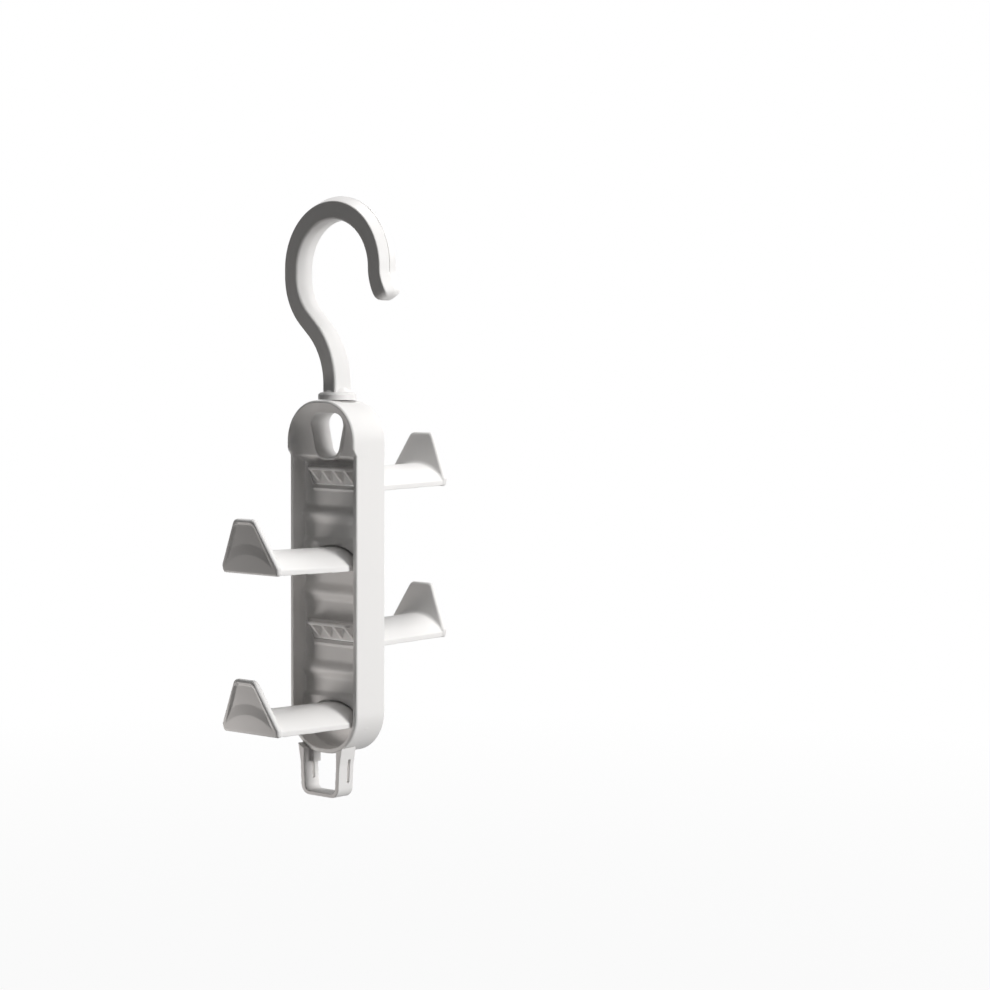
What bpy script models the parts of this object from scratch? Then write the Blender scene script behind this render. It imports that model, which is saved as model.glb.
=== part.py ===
"""A closet hanging hook: a swivelling crook, a long frame, four arms that hang in its web, and a link loop.

Metres, +Z up. The origin is where the closet rod bears: the inside of the crook's crown, on the swivel axis.
The front of the hanger looks along -Y.
"""

import math

import bmesh
import bpy

# Fits and mesh fineness
GAP = 0.0003
OVERRUN = 0.002
SINK = 0.0005
ARC_STEPS = 8
LEAST_RADIUS_SHARE = 0.1
ROUND_MIDDLE_SHARE = 0.3
ROUND_STEPS = 32

# Hook: the crook, its neck and its collar
CROOK_RADIUS = 0.0255
CROOK_SHIFT = 0.0014
CROOK_DROP = 0.003
CROWN_THICKNESS = 0.008
LIMB_THICKNESS = 0.0076
HOOK_DEPTH = 0.0105
TIP_DROP = 0.0096
TIP_FLARE = 0.0026
TIP_ROUND = 0.0042
TIP_POWER_SHARE = 0.5
NECK_LENGTH = 0.05452
NECK_BEND_RADIUS = 0.033
NECK_BEND_DROP = 0.05082
SECTION_ROUND = 0.002
SECTION_EDGE = 0.0007
ROUND_MOST_SHARE = 0.9
RIDGE_SHARE = 0.3
INNER_DOME_SHARE = 0.04
CROOK_STEPS = 26
BEND_STEPS = 9
COLLAR_DIAMETER = 0.0169
COLLAR_HEIGHT = 0.0031
COLLAR_BEVEL = 0.0008
COLLAR_FILLET = 0.0012

# Swivel: the pin under the collar, and what holds it in the frame
PIN_DIAMETER = 0.005
SCREW_DIAMETER = 0.0026
SCREW_LENGTH = 0.0085
SCREW_HEAD_DIAMETER = 0.0058
SCREW_HEAD_HEIGHT = 0.0016
SCREW_SLOT = 0.0009
SCREW_SLOT_DEPTH = 0.0008
WASHER_DIAMETER = 0.007
WASHER_THICKNESS = 0.0008
SEAT_DIAMETER = 0.0076
SEAT_DEPTH = 0.0032

# Main frame: rim, web and top block
BODY_WIDTH = 0.0416
BODY_DEPTH = 0.018
BODY_HEIGHT = 0.1561
TOP_RADIUS_SHARE = 0.875
BOTTOM_RADIUS_SHARE = 0.899
RIM_WALL = 0.0022
RIM_ROUND = 0.0008
WEB_THICKNESS = 0.0025
SWELL_DEPTH = 0.002
SWELL_HEIGHT = 0.0092
SWELL_DROP = 0.0105
BLOCK_HEIGHT = 0.0246
BLOCK_PROUD = 0.00205
BLOCK_OUTSET = 0.00005
BLOCK_CHAMFER = 0.003
BLOCK_RAMP_DROP = 0.0006
APRON_HEIGHT = 0.0036
FRONT_DISH_DEPTH = 0.0055
BACK_DISH_DEPTH = 0.0048
DISH_RIM = 0.0012
DISH_REACH = 0.0098

# Grip hole and its lip
HOLE_TOP_WIDTH = 0.0223
HOLE_BOTTOM_WIDTH = 0.0125
HOLE_HEIGHT = 0.0195
HOLE_TOP_DROP = 0.0055
HOLE_TOP_RADIUS = 0.0052
HOLE_BOTTOM_RADIUS = 0.0058
LIP_WIDTH = 0.0012
LIP_PROUD = 0.0008

# Arms and the windows that they hang in
FIRST_ARM_HEIGHT = 0.0124
ROOM_OVER_TOP_ARM = 0.0156
ARM_SIDE_CLEARANCE = 0.0017
ARM_REACH = 0.0441
ARM_TILT_DEG = 1.1
ARCH_RISE_SHARE = 0.43787
PLATE_THICKNESS = 0.0024
WINDOW_SILL = 0.0025
WINDOW_HEAD = 0.0013
WINDOW_SIDE = 0.0009
WINDOW_TAPER = 0.004
LIP_HEIGHT = 0.0239
LIP_THICKNESS = 0.003
LIP_TOP_WIDTH = 0.0126
LIP_BELLY = 0.0006
LIP_BELLY_HEIGHT = 0.0031
LIP_FOOT_OUTSET = 0.0003
LIP_FOOT_DROP = 0.0004
LIP_CORNER = 0.003
LIP_EDGE = 0.0005
LIP_LEAN_DEG = 9.6
PANEL_BORDER = 0.0011
PANEL_DEPTH = 0.0008
PANEL_SLOPE = 0.0012
PANEL_FOOT = 0.0012
PANEL_FOOT_RAMP = 0.0045
PANEL_OVER_SHARE = 0.35
TAIL_SHELF_REACH = 0.0056
TAIL_SHELF_TAPER = 0.0051
TAIL_SHELF_THICKNESS = 0.0014
TAIL_SHELF_INSET = 0.0002
TAIL_INSET = 0.00025
TAIL_LIFT_ROOM = 0.0008
TAIL_HOOK_HEIGHT = 0.0007
TAIL_HOOK_THICKNESS = 0.0008
GUSSET_THICKNESS = 0.0016
GUSSET_COUNT = 4
NECK_MARGIN = 0.0005
NECK_SKIN = 0.0003
BROW_GAP = 0.0009
BROW_PROUD = 0.00135
BROW_FACE = 0.0006
BROW_RAMP = 0.0022
SILL_RIB_DROP = 0.0015
SILL_RIB_HEIGHT = 0.0016
SILL_RIB_PROUD = 0.0007

# Link loop and the prongs that it snaps on
LOOP_DROP = 0.019
LOOP_DEPTH = 0.009
LOOP_TOP_WIDTH = 0.0288
LOOP_NECK_WIDTH = 0.0244
LOOP_NECK_DROP = 0.0045
LOOP_BASE_WIDTH = 0.0228
LOOP_CORNER = 0.0046
LOOP_TOP_HEIGHT = 0.0075
LOOP_BAR = 0.0022
LOOP_BASE_BAR = 0.0017
PRONG_WIDTH = 0.0023
PRONG_DEPTH = 0.0046
PRONG_DROP = 0.005
SLOT_WIDTH = 0.0014
SLOT_TOP_DROP = 0.002
SLOT_HEIGHT = 0.0105
SLOT_BACK = 0.0024
NIB_REACH = 0.0012
NIB_HEIGHT = 0.0014

# Heights that follow from the sizes above, counted from the rod's seat
CROOK_Z = CROWN_THICKNESS * (0.5 + INNER_DOME_SHARE) - CROOK_RADIUS
COLLAR_TOP = CROOK_Z - NECK_LENGTH
COLLAR_BASE = COLLAR_TOP - COLLAR_HEIGHT
BODY_TOP = COLLAR_BASE - GAP
BODY_BASE = BODY_TOP - BODY_HEIGHT
BLOCK_BASE = BODY_TOP - BLOCK_HEIGHT
HOLE_TOP = BODY_TOP - HOLE_TOP_DROP
SEAT_TOP = HOLE_TOP + SEAT_DEPTH

# Widths and depths that follow
HALF_BODY = BODY_WIDTH / 2
TOP_RADIUS = TOP_RADIUS_SHARE * HALF_BODY
BOTTOM_RADIUS = BOTTOM_RADIUS_SHARE * HALF_BODY
HALF_DEPTH = BODY_DEPTH / 2
HALF_WEB = WEB_THICKNESS / 2
RECESS_HALF = HALF_BODY - RIM_WALL
ARM_HALF = RECESS_HALF - ARM_SIDE_CLEARANCE
ARCH_RISE = ARCH_RISE_SHARE * ARM_HALF
WINDOW_TOP = ARCH_RISE + PLATE_THICKNESS + WINDOW_HEAD
WINDOW_TOP_HALF = RECESS_HALF - WINDOW_SIDE
WINDOW_LOW_HALF = WINDOW_TOP_HALF - WINDOW_TAPER
WINDOW_SLOPE = WINDOW_TAPER / (WINDOW_TOP - WINDOW_SILL)
ARCH_RADIUS = (ARM_HALF**2 + ARCH_RISE**2) / (2 * ARCH_RISE)
FRONT_PLANE = -HALF_DEPTH - BLOCK_PROUD
ROOT = HALF_WEB + GAP
TAIL_NEAR = HALF_WEB - SINK - GAP - TAIL_LIFT_ROOM
ARM_PITCH = (BODY_HEIGHT - BLOCK_HEIGHT - FIRST_ARM_HEIGHT - ROOM_OVER_TOP_ARM) / 3

# The arms from the lowest up, with the side that each one stands out of: -1 is the front
ARMS = (
    ("front_lower_arm", 0, -1),
    ("back_lower_arm", 1, 1),
    ("front_upper_arm", 2, -1),
    ("back_upper_arm", 3, 1),
)


def clear_scene():
    for obj in list(bpy.data.objects):
        bpy.data.objects.remove(obj)


def material(name, color, roughness, metallic=0.0):
    made = bpy.data.materials.new(name)
    made.use_nodes = True
    shader = made.node_tree.nodes["Principled BSDF"]
    shader.inputs["Base Color"].default_value = (*color, 1.0)
    shader.inputs["Roughness"].default_value = roughness
    shader.inputs["Metallic"].default_value = metallic
    return made


# Meshes from rings of points


def solid(name, lofts):
    """One object from closed lofts. Each loft is a list of rings, capped at both ends."""
    made = bmesh.new()
    for rings in lofts:
        rows = [[made.verts.new(point) for point in ring] for ring in rings]
        count = len(rows[0])
        for low, high in zip(rows, rows[1:]):
            for i in range(count):
                j = (i + 1) % count
                made.faces.new((low[i], low[j], high[j], high[i]))
        made.faces.new(rows[0][::-1])
        made.faces.new(rows[-1])
    bmesh.ops.recalc_face_normals(made, faces=made.faces)
    mesh = bpy.data.meshes.new(name)
    made.to_mesh(mesh)
    made.free()
    obj = bpy.data.objects.new(name, mesh)
    bpy.context.scene.collection.objects.link(obj)
    return obj


def in_plane_y(outline, y):
    return [(x, y, z) for x, z in outline]


def slab(outline, y_low, y_high):
    """A loft of one X-Z outline between two depths."""
    return [in_plane_y(outline, y_low), in_plane_y(outline, y_high)]


def box(low, high):
    outline = [(low[0], low[2]), (high[0], low[2]), (high[0], high[2]), (low[0], high[2])]
    return slab(outline, low[1], high[1])


def turned(profile):
    """A loft of circles round the Z axis, from (radius, z) pairs."""
    turn = 2 * math.pi / ROUND_STEPS
    return [
        [(r * math.cos(i * turn), r * math.sin(i * turn), z) for i in range(ROUND_STEPS)]
        for r, z in profile
    ]


def combine(base, other, operation):
    """Adds or cuts the other object, and removes it."""
    step = base.modifiers.new(other.name, "BOOLEAN")
    step.operation = operation
    step.solver = "EXACT"
    step.object = other
    bpy.context.view_layer.update()
    graph = bpy.context.evaluated_depsgraph_get()
    result = bpy.data.meshes.new_from_object(base.evaluated_get(graph))
    base.modifiers.clear()
    base.data = result
    bpy.data.objects.remove(other)


def add(base, name, *lofts):
    combine(base, solid(name, lofts), "UNION")


def cut(base, name, *lofts):
    combine(base, solid(name, lofts), "DIFFERENCE")


def finish(obj, name, look):
    obj.name = name
    obj.data.name = name
    obj.data.materials.clear()
    obj.data.materials.append(look)
    obj.data.shade_smooth()
    obj.data.set_sharp_from_angle(angle=math.radians(32))


# Outlines


def rounded(corners, radii, inset=0.0):
    """A convex outline, drawn in by an inset, with its corners rounded by arcs."""
    count = len(corners)
    lines = []
    for (x1, z1), (x2, z2) in zip(corners, corners[1:] + corners[:1]):
        length = math.hypot(x2 - x1, z2 - z1)
        along = ((x2 - x1) / length, (z2 - z1) / length)
        lines.append(((x1 - along[1] * inset, z1 + along[0] * inset), along))
    points = []
    for i in range(count):
        (start, before), (other, after) = lines[i - 1], lines[i]
        turn = before[0] * after[1] - before[1] * after[0]
        reach = ((other[0] - start[0]) * after[1] - (other[1] - start[1]) * after[0]) / turn
        corner = (start[0] + before[0] * reach, start[1] + before[1] * reach)
        if radii[i] == 0:
            points.append(corner)
            continue
        radius = max(radii[i] - inset, radii[i] * LEAST_RADIUS_SHARE)
        angle = math.asin(max(-1.0, min(1.0, turn)))
        if before[0] * after[0] + before[1] * after[1] < 0:
            angle = math.pi - angle
        back = radius * math.tan(angle / 2)
        first = (corner[0] - before[0] * back, corner[1] - before[1] * back)
        centre = (first[0] - before[1] * radius, first[1] + before[0] * radius)
        heading = math.atan2(before[1], before[0])
        for step in range(ARC_STEPS + 1):
            a = heading - math.pi / 2 + angle * step / ARC_STEPS
            points.append((centre[0] + radius * math.cos(a), centre[1] + radius * math.sin(a)))
    return points


def body_outline(inset, low=BODY_BASE, low_radius=BOTTOM_RADIUS):
    half = HALF_BODY
    corners = [(-half, low), (half, low), (half, BODY_TOP), (-half, BODY_TOP)]
    return rounded(corners, (low_radius, low_radius, TOP_RADIUS, TOP_RADIUS), inset)


def body_half_width(z, inset):
    """Half of the frame's width at a height, drawn in by an inset."""
    fall = BODY_BASE + BOTTOM_RADIUS - z
    if fall <= 0:
        return HALF_BODY - inset
    radius = BOTTOM_RADIUS - inset
    return HALF_BODY - BOTTOM_RADIUS + math.sqrt(max(radius**2 - fall**2, 0.0))


def arm_level(index):
    """The height of an arm's lower edges."""
    return BODY_BASE + FIRST_ARM_HEIGHT + index * ARM_PITCH


def arch(x):
    """The height of an arm's underside above its lower edges."""
    return ARCH_RISE - ARCH_RADIUS + math.sqrt(ARCH_RADIUS**2 - x**2)


def spread(half, steps):
    return [half * (2 * i / steps - 1) for i in range(steps + 1)]


# Hook


def section(x, z, lean, thickness, depth):
    """A ring across the hook's centre line, which here leans from the vertical.

    The faces are flat, the outer side rises to a ridge at mid-depth, and the inner side is a low dome.
    """
    half = thickness / 2
    side = depth / 2
    ridge = half + RIDGE_SHARE * thickness
    dome = half + INNER_DOME_SHARE * thickness
    inner = min(SECTION_ROUND, ROUND_MOST_SHARE * half)
    edge = min(SECTION_EDGE, inner)
    corners = [(-half, -side), (half, -side), (ridge, 0.0), (half, side), (-half, side), (-dome, 0.0)]
    outline = rounded(corners, (inner, edge, edge, edge, inner, inner))
    return [(x + out * math.cos(lean), y, z + out * math.sin(lean)) for out, y in outline]


def crook_thickness(angle):
    return LIMB_THICKNESS + (CROWN_THICKNESS - LIMB_THICKNESS) * max(math.sin(angle), 0.0) ** 2


def hook_rings():
    rings = []
    tip_steps = 4
    right = CROOK_SHIFT + CROOK_RADIUS
    flare = math.atan2(2 * TIP_FLARE, TIP_DROP)
    for i in range(tip_steps):
        turn = math.pi / 2 * (i + TIP_POWER_SHARE) / (tip_steps + TIP_POWER_SHARE)
        beyond = TIP_ROUND * math.cos(turn)
        size = math.sin(turn) ** TIP_POWER_SHARE
        x = right + TIP_FLARE + beyond * math.sin(flare)
        z = CROOK_Z - TIP_DROP - beyond * math.cos(flare)
        rings.append(section(x, z, flare, LIMB_THICKNESS * size, HOOK_DEPTH * size))
    for i in range(tip_steps):
        share = 1 - i / tip_steps
        lean = math.atan2(2 * TIP_FLARE * share, TIP_DROP)
        x = right + TIP_FLARE * share**2
        rings.append(section(x, CROOK_Z - TIP_DROP * share, lean, LIMB_THICKNESS, HOOK_DEPTH))
    for i in range(CROOK_STEPS + 1):
        a = math.pi * i / CROOK_STEPS
        x = CROOK_SHIFT + CROOK_RADIUS * math.cos(a)
        z = CROOK_Z + CROOK_RADIUS * math.sin(a)
        rings.append(section(x, z, a, crook_thickness(a), HOOK_DEPTH))
    # The neck leaves the crook on the straight line that touches both bends
    bend_x = -NECK_BEND_RADIUS
    across = bend_x - CROOK_SHIFT
    down = CROOK_DROP - NECK_BEND_DROP
    radii = CROOK_RADIUS + NECK_BEND_RADIUS
    straight = math.sqrt(max(across**2 + down**2 - radii**2, 0.0))
    lean = math.atan2(down, across) - math.atan2(-straight, -radii)
    for i in range(BEND_STEPS + 1):
        a = lean * i / BEND_STEPS
        x = CROOK_SHIFT - CROOK_RADIUS * math.cos(a)
        z = CROOK_Z - CROOK_DROP - CROOK_RADIUS * math.sin(a)
        rings.append(section(x, z, a + math.pi, LIMB_THICKNESS, HOOK_DEPTH))
    for i in range(BEND_STEPS + 1):
        a = lean * (1 - i / BEND_STEPS)
        x = bend_x + NECK_BEND_RADIUS * math.cos(a)
        z = CROOK_Z - NECK_BEND_DROP + NECK_BEND_RADIUS * math.sin(a)
        rings.append(section(x, z, a + math.pi, LIMB_THICKNESS, HOOK_DEPTH))
    rings.append(section(0.0, COLLAR_TOP - COLLAR_HEIGHT / 2, math.pi, LIMB_THICKNESS, HOOK_DEPTH))
    return rings


def make_hook(look):
    """Crook, neck, collar and swivel pin, moulded in one, with a bore for the screw."""
    hook = solid("hook", [hook_rings()])
    collar = COLLAR_DIAMETER / 2
    pin = PIN_DIAMETER / 2
    stem = HOOK_DEPTH / 2
    fillet = COLLAR_FILLET
    root = turned(
        [
            (pin, SEAT_TOP),
            (pin, COLLAR_BASE),
            (collar, COLLAR_BASE),
            (collar, COLLAR_TOP - COLLAR_BEVEL),
            (collar - COLLAR_BEVEL, COLLAR_TOP),
            (stem + fillet / 2, COLLAR_TOP + fillet / 4),
            (stem, COLLAR_TOP + fillet),
            (stem - fillet, COLLAR_TOP + 2 * fillet),
        ]
    )
    add(hook, "collar", root)
    bore = SCREW_DIAMETER / 2 + GAP
    cut(hook, "bore", turned([(bore, SEAT_TOP - OVERRUN), (bore, SEAT_TOP + SCREW_LENGTH + GAP)]))
    finish(hook, "hook", look)


def make_swivel(screw_look, washer_look):
    """A washer under the pin's end, and the screw that holds it there from below."""
    washer_top = SEAT_TOP - GAP
    washer_low = washer_top - WASHER_THICKNESS
    outer = WASHER_DIAMETER / 2
    inner = SCREW_DIAMETER / 2 + GAP
    washer = solid("thrust_washer", [turned([(outer, washer_low), (outer, washer_top)])])
    cut(washer, "eye", turned([(inner, washer_low - OVERRUN), (inner, washer_top + OVERRUN)]))
    finish(washer, "thrust_washer", washer_look)
    head_top = washer_low - GAP
    head = SCREW_HEAD_DIAMETER / 2
    shank = SCREW_DIAMETER / 2
    tip = head_top + GAP + WASHER_THICKNESS + GAP + SCREW_LENGTH
    low = head_top - SCREW_HEAD_HEIGHT
    screw = solid(
        "swivel_screw",
        [
            turned(
                [
                    (head * math.cos(math.radians(60)), low),
                    (head * math.cos(math.radians(30)), low + SCREW_HEAD_HEIGHT / 4),
                    (head, head_top - SCREW_HEAD_HEIGHT / 3),
                    (head, head_top),
                    (shank, head_top),
                    (shank, tip - shank),
                    (shank / 2, tip),
                ]
            )
        ],
    )
    half = SCREW_SLOT / 2
    reach = head * math.cos(math.radians(45))
    slot_low = low - OVERRUN
    slot_top = low + SCREW_SLOT_DEPTH
    cut(screw, "cross_x", box((-reach, -half, slot_low), (reach, half, slot_top)))
    cut(screw, "cross_y", box((-half, -reach, slot_low), (half, reach, slot_top)))
    finish(screw, "swivel_screw", screw_look)


# Main frame


def swell(z):
    """How far each face of the web swells out at a height, in soft ribs under the upper three arms."""
    total = 0.0
    for _, index, _ in ARMS[1:]:
        away = abs(z - arm_level(index) + SWELL_DROP) / (SWELL_HEIGHT / 2)
        if away < 1:
            total += SWELL_DEPTH * (1 + math.cos(math.pi * away)) / 2
    return total


def web_rings():
    low = BODY_BASE + RIM_WALL / 2 + SINK
    heights = {low, BODY_BASE + BOTTOM_RADIUS, BLOCK_BASE + SINK}
    bottom_steps = 6
    heights.update(low + (BOTTOM_RADIUS - SINK) * (i / bottom_steps) ** 2 for i in range(1, bottom_steps))
    swell_steps = 10
    for _, index, _ in ARMS[1:]:
        centre = arm_level(index) - SWELL_DROP
        heights.update(centre + z for z in spread(SWELL_HEIGHT / 2, swell_steps))
    rings = []
    for z in sorted(heights):
        half = body_half_width(z, RIM_WALL / 2)
        front = -HALF_WEB - swell(z)
        back = HALF_WEB + swell(z)
        rings.append([(-half, front, z), (half, front, z), (half, back, z), (-half, back, z)])
    return rings


def rounded_block(y_low, y_high, round_size, outline):
    """A loft along Y, drawn in at both ends to round its edges. The outline takes an inset."""
    shares = ((0.0, 1.0), (ROUND_MIDDLE_SHARE, ROUND_MIDDLE_SHARE), (1.0, 0.0))
    rings = []
    ends = []
    for depth, inset in shares:
        drawn_in = outline(round_size * inset)
        rings.append(in_plane_y(drawn_in, y_low + round_size * depth))
        ends.append(in_plane_y(drawn_in, y_high - round_size * depth))
    return rings + ends[::-1]


def smooth(share):
    """Goes softly from 0 to 1 as the share does."""
    return (1 - math.cos(math.pi * share)) / 2


def block_rings():
    """The proud front of the top block. Its lower end ramps softly down to the rim."""
    foot = BLOCK_BASE + BLOCK_RAMP_DROP
    ramp_steps = 5
    rings = [in_plane_y(body_outline(-BLOCK_OUTSET, foot, 0.0), -HALF_WEB)]
    for i in range(ramp_steps + 1):
        share = i / ramp_steps
        y = -HALF_DEPTH - (BLOCK_PROUD - RIM_ROUND) * smooth(share)
        low = foot + (BLOCK_CHAMFER - RIM_ROUND) * share
        rings.append(in_plane_y(body_outline(-BLOCK_OUTSET, low, 0.0), y))
    inset = RIM_ROUND - BLOCK_OUTSET
    rings.append(in_plane_y(body_outline(inset, foot + BLOCK_CHAMFER - RIM_ROUND, 0.0), FRONT_PLANE))
    return rings


def dish_level(x):
    """How far in front of the middle plane the block's dish lies at its lower end."""
    inset = HALF_BODY - abs(x)
    share = max(0.0, min(1.0, (inset - DISH_RIM) / DISH_REACH))
    level = -FRONT_PLANE - FRONT_DISH_DEPTH * math.sqrt(1 - (1 - share) ** 2)
    return min(level, HALF_DEPTH - RIM_ROUND)


def apron_rings():
    """The soft ramp from the dish's lower end back to the web, drawn as level slices."""
    apron_steps = 6
    apron_points = 24
    half = RECESS_HALF + RIM_WALL / 2
    inside = HALF_WEB - SINK
    rings = []
    for i in range(apron_steps + 1):
        share = i / apron_steps
        z = BLOCK_BASE + SINK - (APRON_HEIGHT + SINK) * share
        reach = 1 - smooth(share)
        edge = [
            (x, -inside - reach * (dish_level(x) - SINK - inside), z)
            for x in spread(half, apron_points)
        ]
        rings.append(edge + [(half, inside, z), (-half, inside, z)])
    return rings


def dish_rings(plane, depth, side):
    """A smooth dish let into the top block, open at the block's lower end."""
    low = BLOCK_BASE - OVERRUN
    rings = [in_plane_y(body_outline(DISH_RIM, low, 0.0), plane + side * OVERRUN)]
    steps = 7
    for i in range(1, steps + 1):
        a = math.pi / 2 * i / steps
        inset = DISH_RIM + DISH_REACH * (1 - math.cos(a))
        y = plane - side * depth * math.sin(a)
        rings.append(in_plane_y(body_outline(inset, low - inset, 0.0), y))
    return rings


def hole_outline(outset):
    top = HOLE_TOP_WIDTH / 2
    low = HOLE_BOTTOM_WIDTH / 2
    base = HOLE_TOP - HOLE_HEIGHT
    corners = [(-low, base), (low, base), (top, HOLE_TOP), (-top, HOLE_TOP)]
    radii = (HOLE_BOTTOM_RADIUS, HOLE_BOTTOM_RADIUS, HOLE_TOP_RADIUS, HOLE_TOP_RADIUS)
    return rounded(corners, radii, -outset)


def window_rings(index):
    """The window that an arm's tail goes through: wide at the top, narrower at its sill."""
    low = arm_level(index) + WINDOW_SILL
    top = arm_level(index) + WINDOW_TOP
    outline = [
        (-WINDOW_LOW_HALF, low),
        (WINDOW_LOW_HALF, low),
        (WINDOW_TOP_HALF, top),
        (-WINDOW_TOP_HALF, top),
    ]
    return slab(outline, -HALF_WEB - OVERRUN, HALF_WEB + OVERRUN)


def brow_rings(index, side):
    """The arched shoulder on the web over an arm's root."""
    brow_steps = 14
    face_top = arm_level(index) + WINDOW_TOP + BROW_FACE
    rings = []
    for x in spread(RECESS_HALF + RIM_WALL / 2, brow_steps):
        low = arm_level(index) + arch(x) + PLATE_THICKNESS + BROW_GAP
        profile = (
            (HALF_WEB - SINK, low),
            (HALF_WEB + BROW_PROUD, low),
            (HALF_WEB + BROW_PROUD, face_top),
            (HALF_WEB, face_top + BROW_RAMP),
            (HALF_WEB - SINK, face_top + BROW_RAMP),
        )
        rings.append([(x, side * out, z) for out, z in profile])
    return rings


def sill_rings(index, side):
    """The ledge under a window, on the side where the arm's tail shows."""
    middle = arm_level(index) + WINDOW_SILL - SILL_RIB_DROP
    half = SILL_RIB_HEIGHT / 2
    profile = (
        (HALF_WEB - SINK, middle + half),
        (HALF_WEB, middle + half),
        (HALF_WEB + SILL_RIB_PROUD, middle + half / 3),
        (HALF_WEB + SILL_RIB_PROUD, middle - half / 3),
        (HALF_WEB, middle - half),
        (HALF_WEB - SINK, middle - half),
    )
    return [[(x, -side * out, z) for out, z in profile] for x in (-WINDOW_LOW_HALF, WINDOW_LOW_HALF)]


def slot_y():
    return FRONT_PLANE + LOOP_DEPTH - SLOT_BACK - SLOT_WIDTH / 2


def prong_outer():
    return LOOP_NECK_WIDTH / 2 - LOOP_BAR - GAP


def prongs(side):
    """A prong under the frame's end, and the nib on it that snaps into the loop's slot."""
    outer = prong_outer()
    foot = BODY_BASE - PRONG_DROP
    middle = slot_y()
    root = BODY_BASE + BOTTOM_RADIUS - math.sqrt((BOTTOM_RADIUS - SINK) ** 2 - outer**2)
    xs = sorted((side * (outer - PRONG_WIDTH), side * outer))
    prong = box((xs[0], middle - PRONG_DEPTH / 2, foot), (xs[1], middle + PRONG_DEPTH / 2, root))
    nib_top = BODY_BASE - SLOT_TOP_DROP - GAP
    half = SLOT_WIDTH / 2 - GAP
    xs = sorted((side * (outer - SINK), side * (outer + NIB_REACH)))
    nib = box((xs[0], middle - half, nib_top - NIB_HEIGHT), (xs[1], middle + half, nib_top))
    return prong, nib


def make_frame(look):
    frame = solid("main_frame", [rounded_block(-HALF_DEPTH, HALF_DEPTH, RIM_ROUND, body_outline)])
    inner = [(-RECESS_HALF, BODY_BASE + RIM_WALL), (RECESS_HALF, BODY_BASE + RIM_WALL)]
    inner += [(RECESS_HALF, BLOCK_BASE), (-RECESS_HALF, BLOCK_BASE)]
    corner = BOTTOM_RADIUS - RIM_WALL
    recess = slab(rounded(inner, (corner, corner, 0.0, 0.0)), -HALF_DEPTH - OVERRUN, HALF_DEPTH + OVERRUN)
    cut(frame, "recess", recess)
    add(frame, "web", web_rings())
    add(frame, "block", block_rings())
    cut(frame, "front_dish", dish_rings(FRONT_PLANE, FRONT_DISH_DEPTH, -1))
    cut(frame, "back_dish", dish_rings(HALF_DEPTH, BACK_DISH_DEPTH, 1))
    add(frame, "apron", apron_rings())
    front_floor = FRONT_PLANE + FRONT_DISH_DEPTH
    back_floor = HALF_DEPTH - BACK_DISH_DEPTH
    add(frame, "lip", slab(hole_outline(LIP_WIDTH), front_floor - LIP_PROUD, back_floor + LIP_PROUD))
    cut(frame, "hole", slab(hole_outline(0.0), FRONT_PLANE - OVERRUN, HALF_DEPTH + OVERRUN))
    pin = PIN_DIAMETER / 2 + GAP
    seat = SEAT_DIAMETER / 2
    cut(frame, "pin_hole", turned([(pin, SEAT_TOP - SINK), (pin, BODY_TOP + OVERRUN)]))
    cut(frame, "seat", turned([(seat, HOLE_TOP - OVERRUN), (seat, SEAT_TOP)]))
    cut(frame, "windows", *(window_rings(index) for _, index, _ in ARMS))
    add(frame, "brows", *(brow_rings(index, side) for _, index, side in ARMS))
    add(frame, "sills", *(sill_rings(index, side) for _, index, side in ARMS))
    for side in (-1, 1):
        prong, nib = prongs(side)
        add(frame, "prong", prong)
        add(frame, "nib", nib)
    finish(frame, "main_frame", look)


# Arms: built round the pivot, which is the middle of the window's top edge, with the reach along -Y


def plate_ring(y, rise, half, skin):
    plate_steps = 14
    under = [(x, y, arch(x) + rise + skin - WINDOW_TOP) for x in spread(half, plate_steps)]
    top = PLATE_THICKNESS - skin - WINDOW_TOP
    over = [(x, y, arch(x) + rise + top) for x in reversed(spread(half, plate_steps))]
    return under + over


def leaning(outline, depth):
    """An outline of (x, distance up the lip), placed in the leaning lip at a depth under its outer face."""
    lean = math.radians(LIP_LEAN_DEG)
    rise = (ARM_REACH + HALF_DEPTH - ROOT) * math.tan(math.radians(ARM_TILT_DEG)) - WINDOW_TOP
    out = ARM_REACH + HALF_DEPTH
    return [
        (
            x,
            -(out + up * math.sin(lean) - depth * math.cos(lean)),
            rise + up * math.cos(lean) + depth * math.sin(lean),
        )
        for x, up in outline
    ]


def lip_rings():
    top = LIP_TOP_WIDTH / 2
    foot = ARM_HALF + LIP_FOOT_OUTSET
    belly = ARM_HALF + LIP_BELLY
    right = [(foot, -LIP_FOOT_DROP), (belly, LIP_BELLY_HEIGHT), (top, LIP_HEIGHT)]
    corners = right + [(-x, up) for x, up in reversed(right)]
    radii = (LIP_EDGE, LIP_EDGE, LIP_CORNER, LIP_CORNER, LIP_EDGE, LIP_EDGE)
    middle = ROUND_MIDDLE_SHARE
    rings = []
    for inset_share, depth in (
        (1.0, 0.0),
        (middle, middle * LIP_EDGE),
        (0.0, LIP_EDGE),
        (0.0, LIP_THICKNESS - LIP_EDGE),
        (middle, LIP_THICKNESS - middle * LIP_EDGE),
        (1.0, LIP_THICKNESS),
    ):
        inset = inset_share * LIP_EDGE
        outline = rounded(corners, [radius + inset for radius in radii], inset)
        rings.append(leaning(outline, depth))
    return rings


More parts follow.
